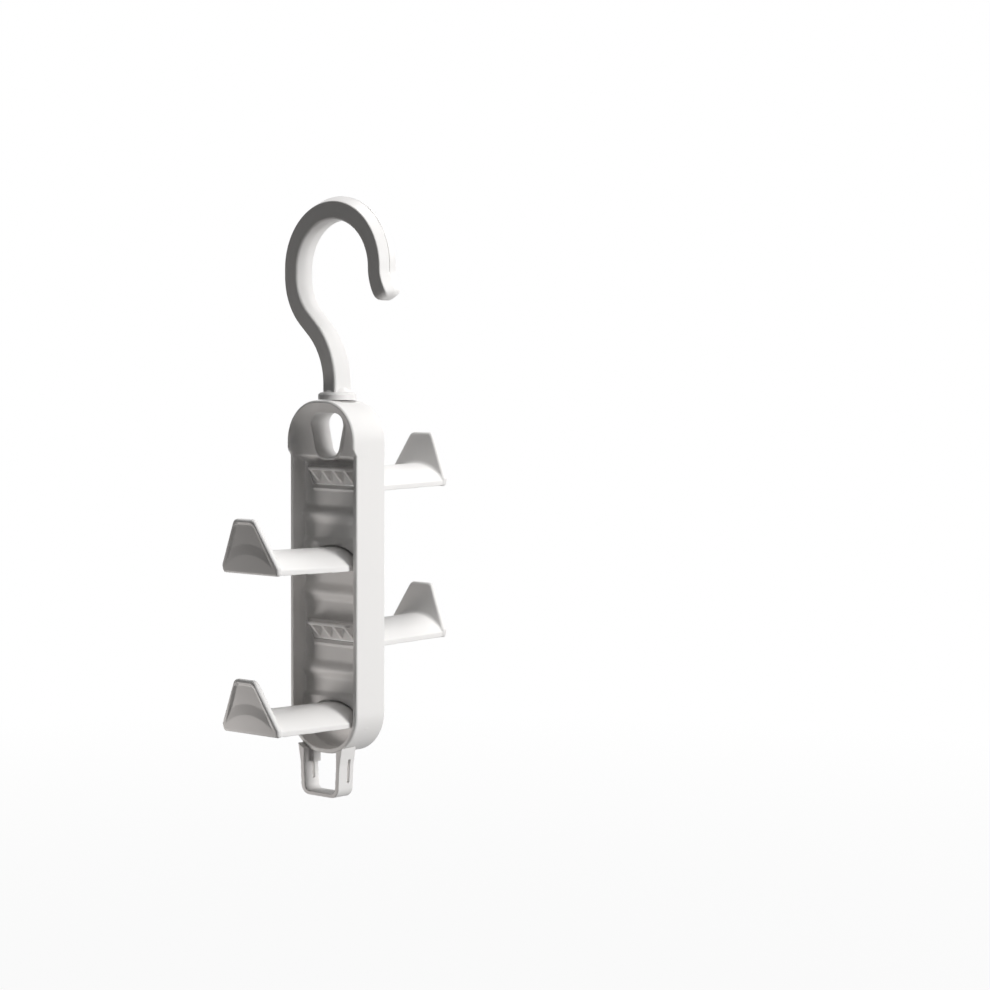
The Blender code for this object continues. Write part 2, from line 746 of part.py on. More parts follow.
def panel_outline(border, foot):
    """The panel's outline: its foot follows the plate's arch at a height over it."""
    belly = ARM_HALF + LIP_BELLY
    slope = (belly - LIP_TOP_WIDTH / 2) / (LIP_HEIGHT - LIP_BELLY_HEIGHT)
    side = belly - border * math.hypot(1.0, slope)
    top = LIP_HEIGHT - border

    def half(up):
        return side - slope * (up - LIP_BELLY_HEIGHT)

    foot_half = half(arch(side) + foot + LIP_BELLY_HEIGHT)
    foot_steps = 10
    outline = [(x, arch(x) + foot) for x in spread(foot_half, foot_steps)]
    corner = LIP_CORNER - border
    outline.append((half(top - corner), top - corner))
    outline.append((half(top) - corner, top))
    outline.append((corner - half(top), top))
    outline.append((-half(top - corner), top - corner))
    return outline


def panel_rings():
    """The shallow panel in the lip's outer face, with sloping sides and a long ramp at its foot."""
    over = PANEL_OVER_SHARE
    outer = panel_outline(PANEL_BORDER - over * PANEL_SLOPE, PANEL_FOOT - over * PANEL_FOOT_RAMP)
    inner = panel_outline(PANEL_BORDER + PANEL_SLOPE, PANEL_FOOT + PANEL_FOOT_RAMP)
    return [leaning(outer, -over * PANEL_DEPTH), leaning(inner, PANEL_DEPTH)]


def tail_half(z):
    """Half of the tail's width at a height, a gap inside the window."""
    return WINDOW_LOW_HALF - GAP + WINDOW_SLOPE * (z - WINDOW_SILL)


def tail_rings():
    """The block that fills the window."""
    face = TAIL_INSET - HALF_WEB
    low = WINDOW_SILL + GAP
    top = WINDOW_TOP - GAP
    profile = ((TAIL_NEAR, low), (TAIL_NEAR, top), (face, top), (face, low))
    return [
        [(side * tail_half(z), -out, z - WINDOW_TOP) for out, z in profile] for side in (-1, 1)
    ]


def shelf_rings():
    """The shelf on top of the tail, narrower at its free edge, seen from above as a tapered strip."""
    top = WINDOW_TOP - GAP
    rings = []
    for z in (top - TAIL_SHELF_THICKNESS, top):
        root = tail_half(top - TAIL_SHELF_THICKNESS) - TAIL_SHELF_INSET
        tip = root - TAIL_SHELF_TAPER
        reach = -HALF_WEB - TAIL_SHELF_REACH
        start = SINK - HALF_WEB
        corners = ((-root, start), (root, start), (tip, reach), (-tip, reach))
        rings.append([(x, -out, z - WINDOW_TOP) for x, out in corners])
    return rings


def hook_strip():
    """The strip that stands on the shelf and catches behind the web, over the window."""
    behind = HALF_WEB + GAP
    half = tail_half(WINDOW_TOP - GAP - TAIL_SHELF_THICKNESS) - TAIL_HOOK_THICKNESS
    low = -GAP - TAIL_SHELF_THICKNESS / 2
    return box((-half, behind, low), (half, behind + TAIL_HOOK_THICKNESS, TAIL_HOOK_HEIGHT))


def gusset_rings(x):
    """A slanting web under the tail's shelf, proud at the top and running back to the frame."""
    face = TAIL_INSET - HALF_WEB
    reach = GAP - HALF_WEB - TAIL_SHELF_REACH
    shelf = WINDOW_TOP - GAP - TAIL_SHELF_THICKNESS
    foot = max(shelf - (face - reach), WINDOW_SILL + 2 * GAP)
    profile = (
        (face + SINK, foot),
        (face, foot),
        (reach, shelf),
        (reach, shelf + SINK),
        (face + SINK, shelf + SINK),
    )
    half = GUSSET_THICKNESS / 2
    return [[(x + side * half, -out, z - WINDOW_TOP) for out, z in profile] for side in (-1, 1)]


def arm_mesh():
    far = ARM_REACH + HALF_DEPTH - LIP_THICKNESS / 2
    rise = (far - ROOT) * math.tan(math.radians(ARM_TILT_DEG))
    plate = [plate_ring(-ROOT, 0.0, ARM_HALF, 0.0), plate_ring(-far, rise, ARM_HALF, 0.0)]
    arm = solid("arm", [plate])
    add(arm, "lip", lip_rings())
    cut(arm, "panel", panel_rings())
    neck_half = WINDOW_LOW_HALF - NECK_MARGIN
    near = TAIL_NEAR - SINK
    neck = [plate_ring(y, 0.0, neck_half, NECK_SKIN) for y in (-near, -ROOT - SINK)]
    add(arm, "neck", neck)
    add(arm, "tail", tail_rings())
    add(arm, "shelf", shelf_rings())
    add(arm, "hook_strip", hook_strip())
    shelf_tip = tail_half(WINDOW_TOP - GAP - TAIL_SHELF_THICKNESS) - TAIL_SHELF_TAPER
    outer = shelf_tip - GUSSET_THICKNESS / 2 - GAP
    add(arm, "gussets", *(gusset_rings(x) for x in spread(outer, GUSSET_COUNT - 1)))
    mesh = arm.data
    bpy.data.objects.remove(arm)
    return mesh


def make_arms(look):
    shape = arm_mesh()
    for name, index, side in ARMS:
        arm = bpy.data.objects.new(name, shape.copy())
        bpy.context.scene.collection.objects.link(arm)
        arm.location = (0.0, 0.0, arm_level(index) + WINDOW_TOP)
        arm.rotation_euler = (0.0, 0.0, math.pi if side > 0 else 0.0)
        finish(arm, name, look)


# Link loop


def make_loop(look):
    """A trapezoid loop, open at the top, whose bars end on the frame's round end."""
    base = BODY_BASE - LOOP_DROP
    neck = BODY_BASE - LOOP_NECK_DROP
    top = BODY_BASE + LOOP_TOP_HEIGHT
    halves = (LOOP_BASE_WIDTH / 2, LOOP_NECK_WIDTH / 2, LOOP_TOP_WIDTH / 2)
    right = list(zip(halves, (base, neck, top)))
    left = [(-x, z) for x, z in reversed(right)]
    radii = (LOOP_CORNER, LOOP_CORNER, 0.0, 0.0, 0.0, 0.0)
    outer = rounded(left[-1:] + right + left[:-1], radii)
    loop = solid("link_loop", [slab(outer, FRONT_PLANE, FRONT_PLANE + LOOP_DEPTH)])
    floor = base + LOOP_BASE_BAR
    inner_right = [
        (halves[0] - LOOP_BAR, floor),
        (halves[1] - LOOP_BAR, neck),
        (halves[1] - LOOP_BAR, top + OVERRUN),
    ]
    inner = inner_right + [(-x, z) for x, z in reversed(inner_right)]
    inner_corner = LOOP_CORNER - LOOP_BAR
    inner = rounded(inner[-1:] + inner[:-1], (inner_corner, inner_corner, 0.0, 0.0, 0.0, 0.0))
    cut(loop, "opening", slab(inner, FRONT_PLANE - OVERRUN, FRONT_PLANE + LOOP_DEPTH + OVERRUN))
    room = body_outline(-GAP)
    cut(loop, "frame_end", slab(room, FRONT_PLANE - OVERRUN, FRONT_PLANE + LOOP_DEPTH + OVERRUN))
    slot_top = BODY_BASE - SLOT_TOP_DROP
    half = SLOT_WIDTH / 2
    low = (-HALF_BODY, slot_y() - half, slot_top - SLOT_HEIGHT)
    cut(loop, "slots", box(low, (HALF_BODY, slot_y() + half, slot_top)))
    finish(loop, "link_loop", look)


def main():
    clear_scene()
    white = material("white_plastic", (0.87, 0.86, 0.85), 0.38)
    steel = material("screw_steel", (0.62, 0.62, 0.63), 0.3, 1.0)
    nylon = material("washer_nylon", (0.8, 0.8, 0.77), 0.45)
    make_hook(white)
    make_swivel(steel, nylon)
    make_frame(white)
    make_arms(white)
    make_loop(white)


main()
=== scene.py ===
"""The looks of the closet hanging hook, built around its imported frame.

Metres, +Z up. The origin is the rod's seat inside the crook's crown, and -Y is the front.
The white mouldings are made again from the frame's sizes, with finer steps and softly rounded edges. The
hook also gets a groove along its ridge, and a ridge that falls towards the neck and the tip. The screw and
the washer are the frame's own.
"""

import math

import bmesh
import bpy
from mathutils import Matrix, Vector


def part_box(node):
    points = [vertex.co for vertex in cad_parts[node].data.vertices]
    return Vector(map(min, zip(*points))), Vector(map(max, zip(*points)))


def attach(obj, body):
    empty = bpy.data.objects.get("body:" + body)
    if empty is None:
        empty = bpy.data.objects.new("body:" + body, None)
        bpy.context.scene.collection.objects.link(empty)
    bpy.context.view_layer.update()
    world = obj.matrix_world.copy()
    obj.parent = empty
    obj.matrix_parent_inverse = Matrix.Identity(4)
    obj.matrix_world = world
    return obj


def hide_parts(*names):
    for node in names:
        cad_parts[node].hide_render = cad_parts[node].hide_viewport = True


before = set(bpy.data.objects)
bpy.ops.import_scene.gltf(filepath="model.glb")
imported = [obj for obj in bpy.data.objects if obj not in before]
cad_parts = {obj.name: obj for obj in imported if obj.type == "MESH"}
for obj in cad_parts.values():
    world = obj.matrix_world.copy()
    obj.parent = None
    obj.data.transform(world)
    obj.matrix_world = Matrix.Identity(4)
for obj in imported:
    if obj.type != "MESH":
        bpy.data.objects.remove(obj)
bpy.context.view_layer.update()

# Fits and mesh fineness
GAP = 0.0003
OVERRUN = 0.002
SINK = 0.0005
ARC_STEPS = 20
LEAST_RADIUS_SHARE = 0.1
ROUND_MIDDLE_SHARE = 0.3
ROUND_STEPS = 96

# Hook: the crook, its neck and its collar
CROOK_RADIUS = 0.0255
CROOK_SHIFT = 0.0014
CROOK_DROP = 0.003
CROWN_THICKNESS = 0.008
LIMB_THICKNESS = 0.0076
HOOK_DEPTH = 0.0105
TIP_DROP = 0.0096
TIP_FLARE = 0.0026
TIP_ROUND = 0.0042
TIP_POWER_SHARE = 0.5
NECK_LENGTH = 0.05452
NECK_BEND_RADIUS = 0.033
NECK_BEND_DROP = 0.05082
SECTION_ROUND = 0.0013
SECTION_EDGE = 0.0007
ROUND_MOST_SHARE = 0.9
RIDGE_SHARE = 0.3
RIDGE_END_SHARE = 0.45
GROOVE_WIDTH = 0.0009
GROOVE_DEPTH = 0.0006
GROOVE_POINTS = 6
GROOVE_END_SHARE = 0.4
GROOVE_FADE_SHARE = 6.0
INNER_DOME_SHARE = 0.04
CROOK_STEPS = 110
TIP_STEPS = 14
BEND_STEPS = 36
COLLAR_DIAMETER = 0.0169
COLLAR_HEIGHT = 0.0031
COLLAR_BEVEL = 0.0008
COLLAR_FILLET = 0.0012

# Swivel: the pin under the collar, the screw's bore in it, and the screw head's seat in the frame
PIN_DIAMETER = 0.005
SCREW_DIAMETER = 0.0026
SCREW_LENGTH = 0.0085
SEAT_DIAMETER = 0.0076
SEAT_DEPTH = 0.0032

# Main frame: rim, web and top block
BODY_WIDTH = 0.0416
BODY_DEPTH = 0.018
BODY_HEIGHT = 0.1561
TOP_RADIUS_SHARE = 0.875
BOTTOM_RADIUS_SHARE = 0.899
RIM_WALL = 0.0022
RIM_ROUND = 0.0008
WEB_THICKNESS = 0.0025
SWELL_DEPTH = 0.002
SWELL_HEIGHT = 0.0092
SWELL_DROP = 0.0105
BLOCK_HEIGHT = 0.0246
BLOCK_PROUD = 0.00205
BLOCK_OUTSET = 0.00005
BLOCK_CHAMFER = 0.003
BLOCK_RAMP_DROP = 0.0006
APRON_HEIGHT = 0.0036
FRONT_DISH_DEPTH = 0.0055
BACK_DISH_DEPTH = 0.0048
DISH_RIM = 0.0012
DISH_REACH = 0.0098

# Grip hole and its lip
HOLE_TOP_WIDTH = 0.0223
HOLE_BOTTOM_WIDTH = 0.0125
HOLE_HEIGHT = 0.0195
HOLE_TOP_DROP = 0.0055
HOLE_TOP_RADIUS = 0.0052
HOLE_BOTTOM_RADIUS = 0.0058
LIP_WIDTH = 0.0012
LIP_PROUD = 0.0008

# Arms and the windows that they hang in
FIRST_ARM_HEIGHT = 0.0124
ROOM_OVER_TOP_ARM = 0.0156
ARM_SIDE_CLEARANCE = 0.0017
ARM_REACH = 0.0441
ARM_TILT_DEG = 1.1
ARCH_RISE_SHARE = 0.43787
PLATE_THICKNESS = 0.0024
WINDOW_SILL = 0.0025
WINDOW_HEAD = 0.0013
WINDOW_SIDE = 0.0009
WINDOW_TAPER = 0.004
LIP_HEIGHT = 0.0239
LIP_THICKNESS = 0.003
LIP_TOP_WIDTH = 0.0126
LIP_BELLY = 0.0006
LIP_BELLY_HEIGHT = 0.0031
LIP_FOOT_OUTSET = 0.0003
LIP_FOOT_DROP = 0.0004
LIP_CORNER = 0.003
LIP_EDGE = 0.0012
LIP_EDGE_STEPS = 6
LIP_FILLET = 0.0017
LIP_LEAN_DEG = 9.6
PANEL_BORDER = 0.0011
PANEL_DEPTH = 0.0008
PANEL_SLOPE = 0.0012
PANEL_FOOT = 0.0012
PANEL_FOOT_RAMP = 0.0045
PANEL_OVER_SHARE = 0.35
TAIL_SHELF_REACH = 0.0056
TAIL_SHELF_TAPER = 0.0051
TAIL_SHELF_THICKNESS = 0.0014
TAIL_SHELF_INSET = 0.0002
TAIL_INSET = 0.00025
TAIL_LIFT_ROOM = 0.0008
TAIL_HOOK_HEIGHT = 0.0007
TAIL_HOOK_THICKNESS = 0.0008
GUSSET_THICKNESS = 0.0016
GUSSET_COUNT = 4
NECK_MARGIN = 0.0005
NECK_SKIN = 0.0003
BROW_GAP = 0.0009
BROW_PROUD = 0.00135
BROW_FACE = 0.0006
BROW_RAMP = 0.0022
SILL_RIB_DROP = 0.0015
SILL_RIB_HEIGHT = 0.0016
SILL_RIB_PROUD = 0.0007

# Link loop and the prongs that it snaps on
LOOP_DROP = 0.019
LOOP_DEPTH = 0.009
LOOP_TOP_WIDTH = 0.0288
LOOP_NECK_WIDTH = 0.0244
LOOP_NECK_DROP = 0.0045
LOOP_BASE_WIDTH = 0.0228
LOOP_CORNER = 0.0046
LOOP_TOP_HEIGHT = 0.0075
LOOP_BAR = 0.0022
LOOP_BASE_BAR = 0.0017
PRONG_WIDTH = 0.0023
PRONG_DEPTH = 0.0046
PRONG_DROP = 0.005
SLOT_WIDTH = 0.0014
SLOT_TOP_DROP = 0.002
SLOT_HEIGHT = 0.0105
SLOT_BACK = 0.0024
NIB_REACH = 0.0012
NIB_HEIGHT = 0.0014

# Soft edges: the grid that fuses each moulding, and the share of its faces that is kept
SMOOTH_FACTOR = 0.5
SMOOTH_ROUNDS = 4
FRAME_GRID = 0.0003
FRAME_FACES_KEPT = 0.2
LOOP_GRID = 0.0002
LOOP_FACES_KEPT = 0.3
ARM_GRID = 0.00028
ARM_FACES_KEPT = 0.35
CREASE_DEG = 32.0

# White plastic. Each roughness is a range, from the smoothest spot to the roughest
PLASTIC_COLOUR = (0.87, 0.86, 0.85, 1.0)
PLASTIC_IOR = 1.49
PLASTIC_SPECULAR = 0.2
PLASTIC_ROUGHNESS = (0.33, 0.45)
PLASTIC_DRIFT_SCALE = 55.0
PLASTIC_DRIFT_DETAIL = 2.0
PLASTIC_GRAIN_SCALE = 2600.0
PLASTIC_GRAIN_DETAIL = 1.0
PLASTIC_GRAIN_STRENGTH = 0.12
PLASTIC_GRAIN_DEPTH = 0.00008

# Screw steel
STEEL_COLOUR = (0.62, 0.62, 0.63, 1.0)
STEEL_ROUGHNESS = (0.22, 0.42)
STEEL_MARKS_SCALE = 900.0
STEEL_MARKS_DETAIL = 3.0
STEEL_MARKS_STRENGTH = 0.2
STEEL_MARKS_DEPTH = 0.00005

# Washer nylon
NYLON_COLOUR = (0.8, 0.8, 0.77, 1.0)
NYLON_ROUGHNESS = (0.4, 0.55)
NYLON_SKIN_SCALE = 400.0
NYLON_SKIN_DETAIL = 2.0
NYLON_SKIN_STRENGTH = 0.1
NYLON_SKIN_DEPTH = 0.00005

# Room and floor: the floor is white where it is seen, and fades to the background further off
WHITE = (1.0, 1.0, 1.0, 1.0)
ROOM_COLOUR = (1.0, 0.99, 0.98, 1.0)
ROOM_LIGHT = 0.005
FLOOR_DROP = 0.1
FLOOR_SIZE = 8.0
FLOOR_COLOUR = (0.07, 0.07, 0.07, 1.0)
FLOOR_ROUGHNESS = 0.9
FLOOR_WHITE = 0.95
FLOOR_NEAR = 0.4
FLOOR_FAR = 1.0

# Each lamp: its name, where it stands, its width and height, its power and its colour
LAMPS = (
    ("key_right", (1.1, 0.28, 0.0), (0.4, 0.9), 13.2, (1.0, 0.995, 0.99)),
    ("top", (0.12, 0.13, 1.0), (0.9, 0.32), 10.2, (1.0, 0.995, 0.99)),
    ("front_low", (-0.13, -0.12, -0.29), (0.07, 0.07), 0.15, (1.0, 0.955, 0.925)),
)
LAMPS_AIM = Vector((0.0, 0.0, -0.13))

# Camera: its place and turn, its focal length in the photo's pixels, and its sensor's width in millimetres
CAMERA_PLACE = Vector((0.78638, -0.79256, -0.0556))
CAMERA_AZIMUTH_DEG = 41.188
CAMERA_PITCH_DEG = 3.349
CAMERA_ROLL_DEG = 0.2
FOCAL_PIXELS = 2519.1
PHOTO_PIXELS = 990
SENSOR = 36.0

# Heights that follow from the sizes above, counted from the rod's seat
CROOK_Z = CROWN_THICKNESS * (0.5 + INNER_DOME_SHARE) - CROOK_RADIUS
COLLAR_TOP = CROOK_Z - NECK_LENGTH
COLLAR_BASE = COLLAR_TOP - COLLAR_HEIGHT
BODY_TOP = COLLAR_BASE - GAP
BODY_BASE = BODY_TOP - BODY_HEIGHT
BLOCK_BASE = BODY_TOP - BLOCK_HEIGHT
HOLE_TOP = BODY_TOP - HOLE_TOP_DROP
SEAT_TOP = HOLE_TOP + SEAT_DEPTH

# Widths and depths that follow
HALF_BODY = BODY_WIDTH / 2
TOP_RADIUS = TOP_RADIUS_SHARE * HALF_BODY
BOTTOM_RADIUS = BOTTOM_RADIUS_SHARE * HALF_BODY
HALF_DEPTH = BODY_DEPTH / 2
HALF_WEB = WEB_THICKNESS / 2
RECESS_HALF = HALF_BODY - RIM_WALL
ARM_HALF = RECESS_HALF - ARM_SIDE_CLEARANCE
ARCH_RISE = ARCH_RISE_SHARE * ARM_HALF
WINDOW_TOP = ARCH_RISE + PLATE_THICKNESS + WINDOW_HEAD
WINDOW_TOP_HALF = RECESS_HALF - WINDOW_SIDE
WINDOW_LOW_HALF = WINDOW_TOP_HALF - WINDOW_TAPER
WINDOW_SLOPE = WINDOW_TAPER / (WINDOW_TOP - WINDOW_SILL)
ARCH_RADIUS = (ARM_HALF**2 + ARCH_RISE**2) / (2 * ARCH_RISE)
FRONT_PLANE = -HALF_DEPTH - BLOCK_PROUD
ROOT = HALF_WEB + GAP
TAIL_NEAR = HALF_WEB - SINK - GAP - TAIL_LIFT_ROOM
ARM_PITCH = (BODY_HEIGHT - BLOCK_HEIGHT - FIRST_ARM_HEIGHT - ROOM_OVER_TOP_ARM) / 3

# The arms from the lowest up, with the side that each one stands out of: -1 is the front
ARMS = (
    ("front_lower_arm", 0, -1),
    ("back_lower_arm", 1, 1),
    ("front_upper_arm", 2, -1),
    ("back_upper_arm", 3, 1),
)


# Meshes from rings of points


def solid(name, lofts):
    """One object from closed lofts. Each loft is a list of rings, capped at both ends."""
    made = bmesh.new()
    for rings in lofts:
        rows = [[made.verts.new(point) for point in ring] for ring in rings]
        count = len(rows[0])
        for low, high in zip(rows, rows[1:]):
            for i in range(count):
                j = (i + 1) % count
                made.faces.new((low[i], low[j], high[j], high[i]))
        made.faces.new(rows[0][::-1])
        made.faces.new(rows[-1])
    bmesh.ops.recalc_face_normals(made, faces=made.faces)
    mesh = bpy.data.meshes.new(name)
    made.to_mesh(mesh)
    made.free()
    obj = bpy.data.objects.new(name, mesh)
    bpy.context.scene.collection.objects.link(obj)
    return obj


def in_plane_y(outline, y):
    return [(x, y, z) for x, z in outline]


def slab(outline, y_low, y_high):
    """A loft of one X-Z outline between two depths."""
    return [in_plane_y(outline, y_low), in_plane_y(outline, y_high)]


def box(low, high):
    outline = [(low[0], low[2]), (high[0], low[2]), (high[0], high[2]), (low[0], high[2])]
    return slab(outline, low[1], high[1])


def turned(profile):
    """A loft of circles round the Z axis, from (radius, z) pairs."""
    turn = 2 * math.pi / ROUND_STEPS
    return [
        [(r * math.cos(i * turn), r * math.sin(i * turn), z) for i in range(ROUND_STEPS)]
        for r, z in profile
    ]


def combine(base, other, operation):
    """Adds or cuts the other object, and removes it."""
    step = base.modifiers.new(other.name, "BOOLEAN")
    step.operation = operation
    step.solver = "EXACT"
    step.object = other
    bpy.context.view_layer.update()
    graph = bpy.context.evaluated_depsgraph_get()
    result = bpy.data.meshes.new_from_object(base.evaluated_get(graph))
    base.modifiers.clear()
    base.data = result
    bpy.data.objects.remove(other)


def add(base, name, *lofts):
    combine(base, solid(name, lofts), "UNION")


def cut(base, name, *lofts):
    combine(base, solid(name, lofts), "DIFFERENCE")


# Outlines


def rounded(corners, radii, inset=0.0):
    """A convex outline, drawn in by an inset, with its corners rounded by arcs."""
    count = len(corners)
    lines = []
    for (x1, z1), (x2, z2) in zip(corners, corners[1:] + corners[:1]):
        length = math.hypot(x2 - x1, z2 - z1)
        along = ((x2 - x1) / length, (z2 - z1) / length)
        lines.append(((x1 - along[1] * inset, z1 + along[0] * inset), along))
    points = []
    for i in range(count):
        (start, before), (other, after) = lines[i - 1], lines[i]
        turn = before[0] * after[1] - before[1] * after[0]
        reach = ((other[0] - start[0]) * after[1] - (other[1] - start[1]) * after[0]) / turn
        corner = (start[0] + before[0] * reach, start[1] + before[1] * reach)
        if radii[i] == 0:
            points.append(corner)
            continue
        radius = max(radii[i] - inset, radii[i] * LEAST_RADIUS_SHARE)
        angle = math.asin(max(-1.0, min(1.0, turn)))
        if before[0] * after[0] + before[1] * after[1] < 0:
            angle = math.pi - angle
        back = radius * math.tan(angle / 2)
        first = (corner[0] - before[0] * back, corner[1] - before[1] * back)
        centre = (first[0] - before[1] * radius, first[1] + before[0] * radius)
        heading = math.atan2(before[1], before[0])
        for step in range(ARC_STEPS + 1):
            a = heading - math.pi / 2 + angle * step / ARC_STEPS
            points.append((centre[0] + radius * math.cos(a), centre[1] + radius * math.sin(a)))
    return points


def body_outline(inset, low=BODY_BASE, low_radius=BOTTOM_RADIUS):
    half = HALF_BODY
    corners = [(-half, low), (half, low), (half, BODY_TOP), (-half, BODY_TOP)]
    return rounded(corners, (low_radius, low_radius, TOP_RADIUS, TOP_RADIUS), inset)


def body_half_width(z, inset):
    """Half of the frame's width at a height, drawn in by an inset."""
    fall = BODY_BASE + BOTTOM_RADIUS - z
    if fall <= 0:
        return HALF_BODY - inset
    radius = BOTTOM_RADIUS - inset
    return HALF_BODY - BOTTOM_RADIUS + math.sqrt(max(radius**2 - fall**2, 0.0))


def arm_level(index):
    """The height of an arm's lower edges."""
    return BODY_BASE + FIRST_ARM_HEIGHT + index * ARM_PITCH


def arch(x):
    """The height of an arm's underside above its lower edges."""
    return ARCH_RISE - ARCH_RADIUS + math.sqrt(ARCH_RADIUS**2 - x**2)


def spread(half, steps):
    return [half * (2 * i / steps - 1) for i in range(steps + 1)]


# Hook


def section(x, z, lean, thickness, depth, groove=0.0, rise=RIDGE_END_SHARE):
    """A ring across the hook's centre line, which here leans from the vertical.

    The faces are flat, the outer side rises to a ridge at mid-depth, and the inner side is a low dome.
    """
    half = thickness / 2
    side = depth / 2
    ridge = half + RIDGE_SHARE * rise * thickness
    dome = half + INNER_DOME_SHARE * thickness
    inner = min(SECTION_ROUND, ROUND_MOST_SHARE * half)
    edge = min(SECTION_EDGE, inner)
    corners = [(-half, -side), (half, -side), (ridge, 0.0), (half, side), (-half, side), (-dome, 0.0)]
    outline = rounded(corners, (inner, edge, 0.0, edge, inner, inner))
    notch = []
    for share in spread(1.0, GROOVE_POINTS):
        y = share * min(GROOVE_WIDTH, side) / 2
        notch.append((ridge - (ridge - half) * abs(y) / side - groove * (1 - share**2), y))
    top = 2 * (ARC_STEPS + 1)
    outline[top : top + 1] = notch
    return [(x + out * math.cos(lean), y, z + out * math.sin(lean)) for out, y in outline]


def crook_thickness(angle):
    return LIMB_THICKNESS + (CROWN_THICKNESS - LIMB_THICKNESS) * max(math.sin(angle), 0.0) ** 2


def hook_rings():
    rings = []
    right = CROOK_SHIFT + CROOK_RADIUS
    flare = math.atan2(2 * TIP_FLARE, TIP_DROP)
    for i in range(TIP_STEPS):
        turn = math.pi / 2 * (i + TIP_POWER_SHARE) / (TIP_STEPS + TIP_POWER_SHARE)
        beyond = TIP_ROUND * math.cos(turn)
        size = math.sin(turn) ** TIP_POWER_SHARE
        x = right + TIP_FLARE + beyond * math.sin(flare)
        z = CROOK_Z - TIP_DROP - beyond * math.cos(flare)
        rings.append(section(x, z, flare, LIMB_THICKNESS * size, HOOK_DEPTH * size))
    for i in range(TIP_STEPS):
        share = 1 - i / TIP_STEPS
        lean = math.atan2(2 * TIP_FLARE * share, TIP_DROP)
        x = right + TIP_FLARE * share**2
        z = CROOK_Z - TIP_DROP * share
        groove = GROOVE_DEPTH * max(0.0, min(1.0, GROOVE_FADE_SHARE * (GROOVE_END_SHARE - share)))
        rings.append(section(x, z, lean, LIMB_THICKNESS, HOOK_DEPTH, groove))
    for i in range(CROOK_STEPS + 1):
        a = math.pi * i / CROOK_STEPS
        x = CROOK_SHIFT + CROOK_RADIUS * math.cos(a)
        z = CROOK_Z + CROOK_RADIUS * math.sin(a)
        rise = RIDGE_END_SHARE + (1 - RIDGE_END_SHARE) * max(math.sin(a), 0.0)
        rings.append(section(x, z, a, crook_thickness(a), HOOK_DEPTH, GROOVE_DEPTH, rise))
    # The neck leaves the crook on the straight line that touches both bends
    bend_x = -NECK_BEND_RADIUS
    across = bend_x - CROOK_SHIFT
    down = CROOK_DROP - NECK_BEND_DROP
    radii = CROOK_RADIUS + NECK_BEND_RADIUS
    straight = math.sqrt(max(across**2 + down**2 - radii**2, 0.0))
    lean = math.atan2(down, across) - math.atan2(-straight, -radii)
    for i in range(BEND_STEPS + 1):
        a = lean * i / BEND_STEPS
        x = CROOK_SHIFT - CROOK_RADIUS * math.cos(a)
        z = CROOK_Z - CROOK_DROP - CROOK_RADIUS * math.sin(a)
        rings.append(section(x, z, a + math.pi, LIMB_THICKNESS, HOOK_DEPTH, GROOVE_DEPTH))
    for i in range(BEND_STEPS + 1):
        a = lean * (1 - i / BEND_STEPS)
        x = bend_x + NECK_BEND_RADIUS * math.cos(a)
        z = CROOK_Z - NECK_BEND_DROP + NECK_BEND_RADIUS * math.sin(a)
        rings.append(section(x, z, a + math.pi, LIMB_THICKNESS, HOOK_DEPTH))
    rings.append(section(0.0, COLLAR_TOP - COLLAR_HEIGHT / 2, math.pi, LIMB_THICKNESS, HOOK_DEPTH))
    return rings


def make_hook():
    """Crook, neck, collar and swivel pin, moulded in one, with a bore for the screw."""
    hook = solid("hook", [hook_rings()])
    collar = COLLAR_DIAMETER / 2
    pin = PIN_DIAMETER / 2
    stem = HOOK_DEPTH / 2
    fillet = COLLAR_FILLET
    root = turned(
        [
            (pin, SEAT_TOP),
            (pin, COLLAR_BASE),
            (collar, COLLAR_BASE),
            (collar, COLLAR_TOP - COLLAR_BEVEL),
            (collar - COLLAR_BEVEL, COLLAR_TOP),
            (stem + fillet / 2, COLLAR_TOP + fillet / 4),
            (stem, COLLAR_TOP + fillet),
            (stem - fillet, COLLAR_TOP + 2 * fillet),
        ]
    )
    add(hook, "collar", root)
    bore = SCREW_DIAMETER / 2 + GAP
    cut(hook, "bore", turned([(bore, SEAT_TOP - OVERRUN), (bore, SEAT_TOP + SCREW_LENGTH + GAP)]))
    return hook


# Main frame


def swell(z):
    """How far each face of the web swells out at a height, in soft ribs under the upper three arms."""
    total = 0.0
    for _, index, _ in ARMS[1:]:
        away = abs(z - arm_level(index) + SWELL_DROP) / (SWELL_HEIGHT / 2)
        if away < 1:
            total += SWELL_DEPTH * (1 + math.cos(math.pi * away)) / 2
    return total


def web_rings():
    low = BODY_BASE + RIM_WALL / 2 + SINK
    heights = {low, BODY_BASE + BOTTOM_RADIUS, BLOCK_BASE + SINK}
    bottom_steps = 16
    for i in range(1, bottom_steps):
        heights.add(low + (BOTTOM_RADIUS - SINK) * (i / bottom_steps) ** 2)
    swell_steps = 36
    for _, index, _ in ARMS[1:]:
        centre = arm_level(index) - SWELL_DROP
        heights.update(centre + z for z in spread(SWELL_HEIGHT / 2, swell_steps))
    rings = []
    for z in sorted(heights):
        half = body_half_width(z, RIM_WALL / 2)
        front = -HALF_WEB - swell(z)
        back = HALF_WEB + swell(z)
        rings.append([(-half, front, z), (half, front, z), (half, back, z), (-half, back, z)])
    return rings


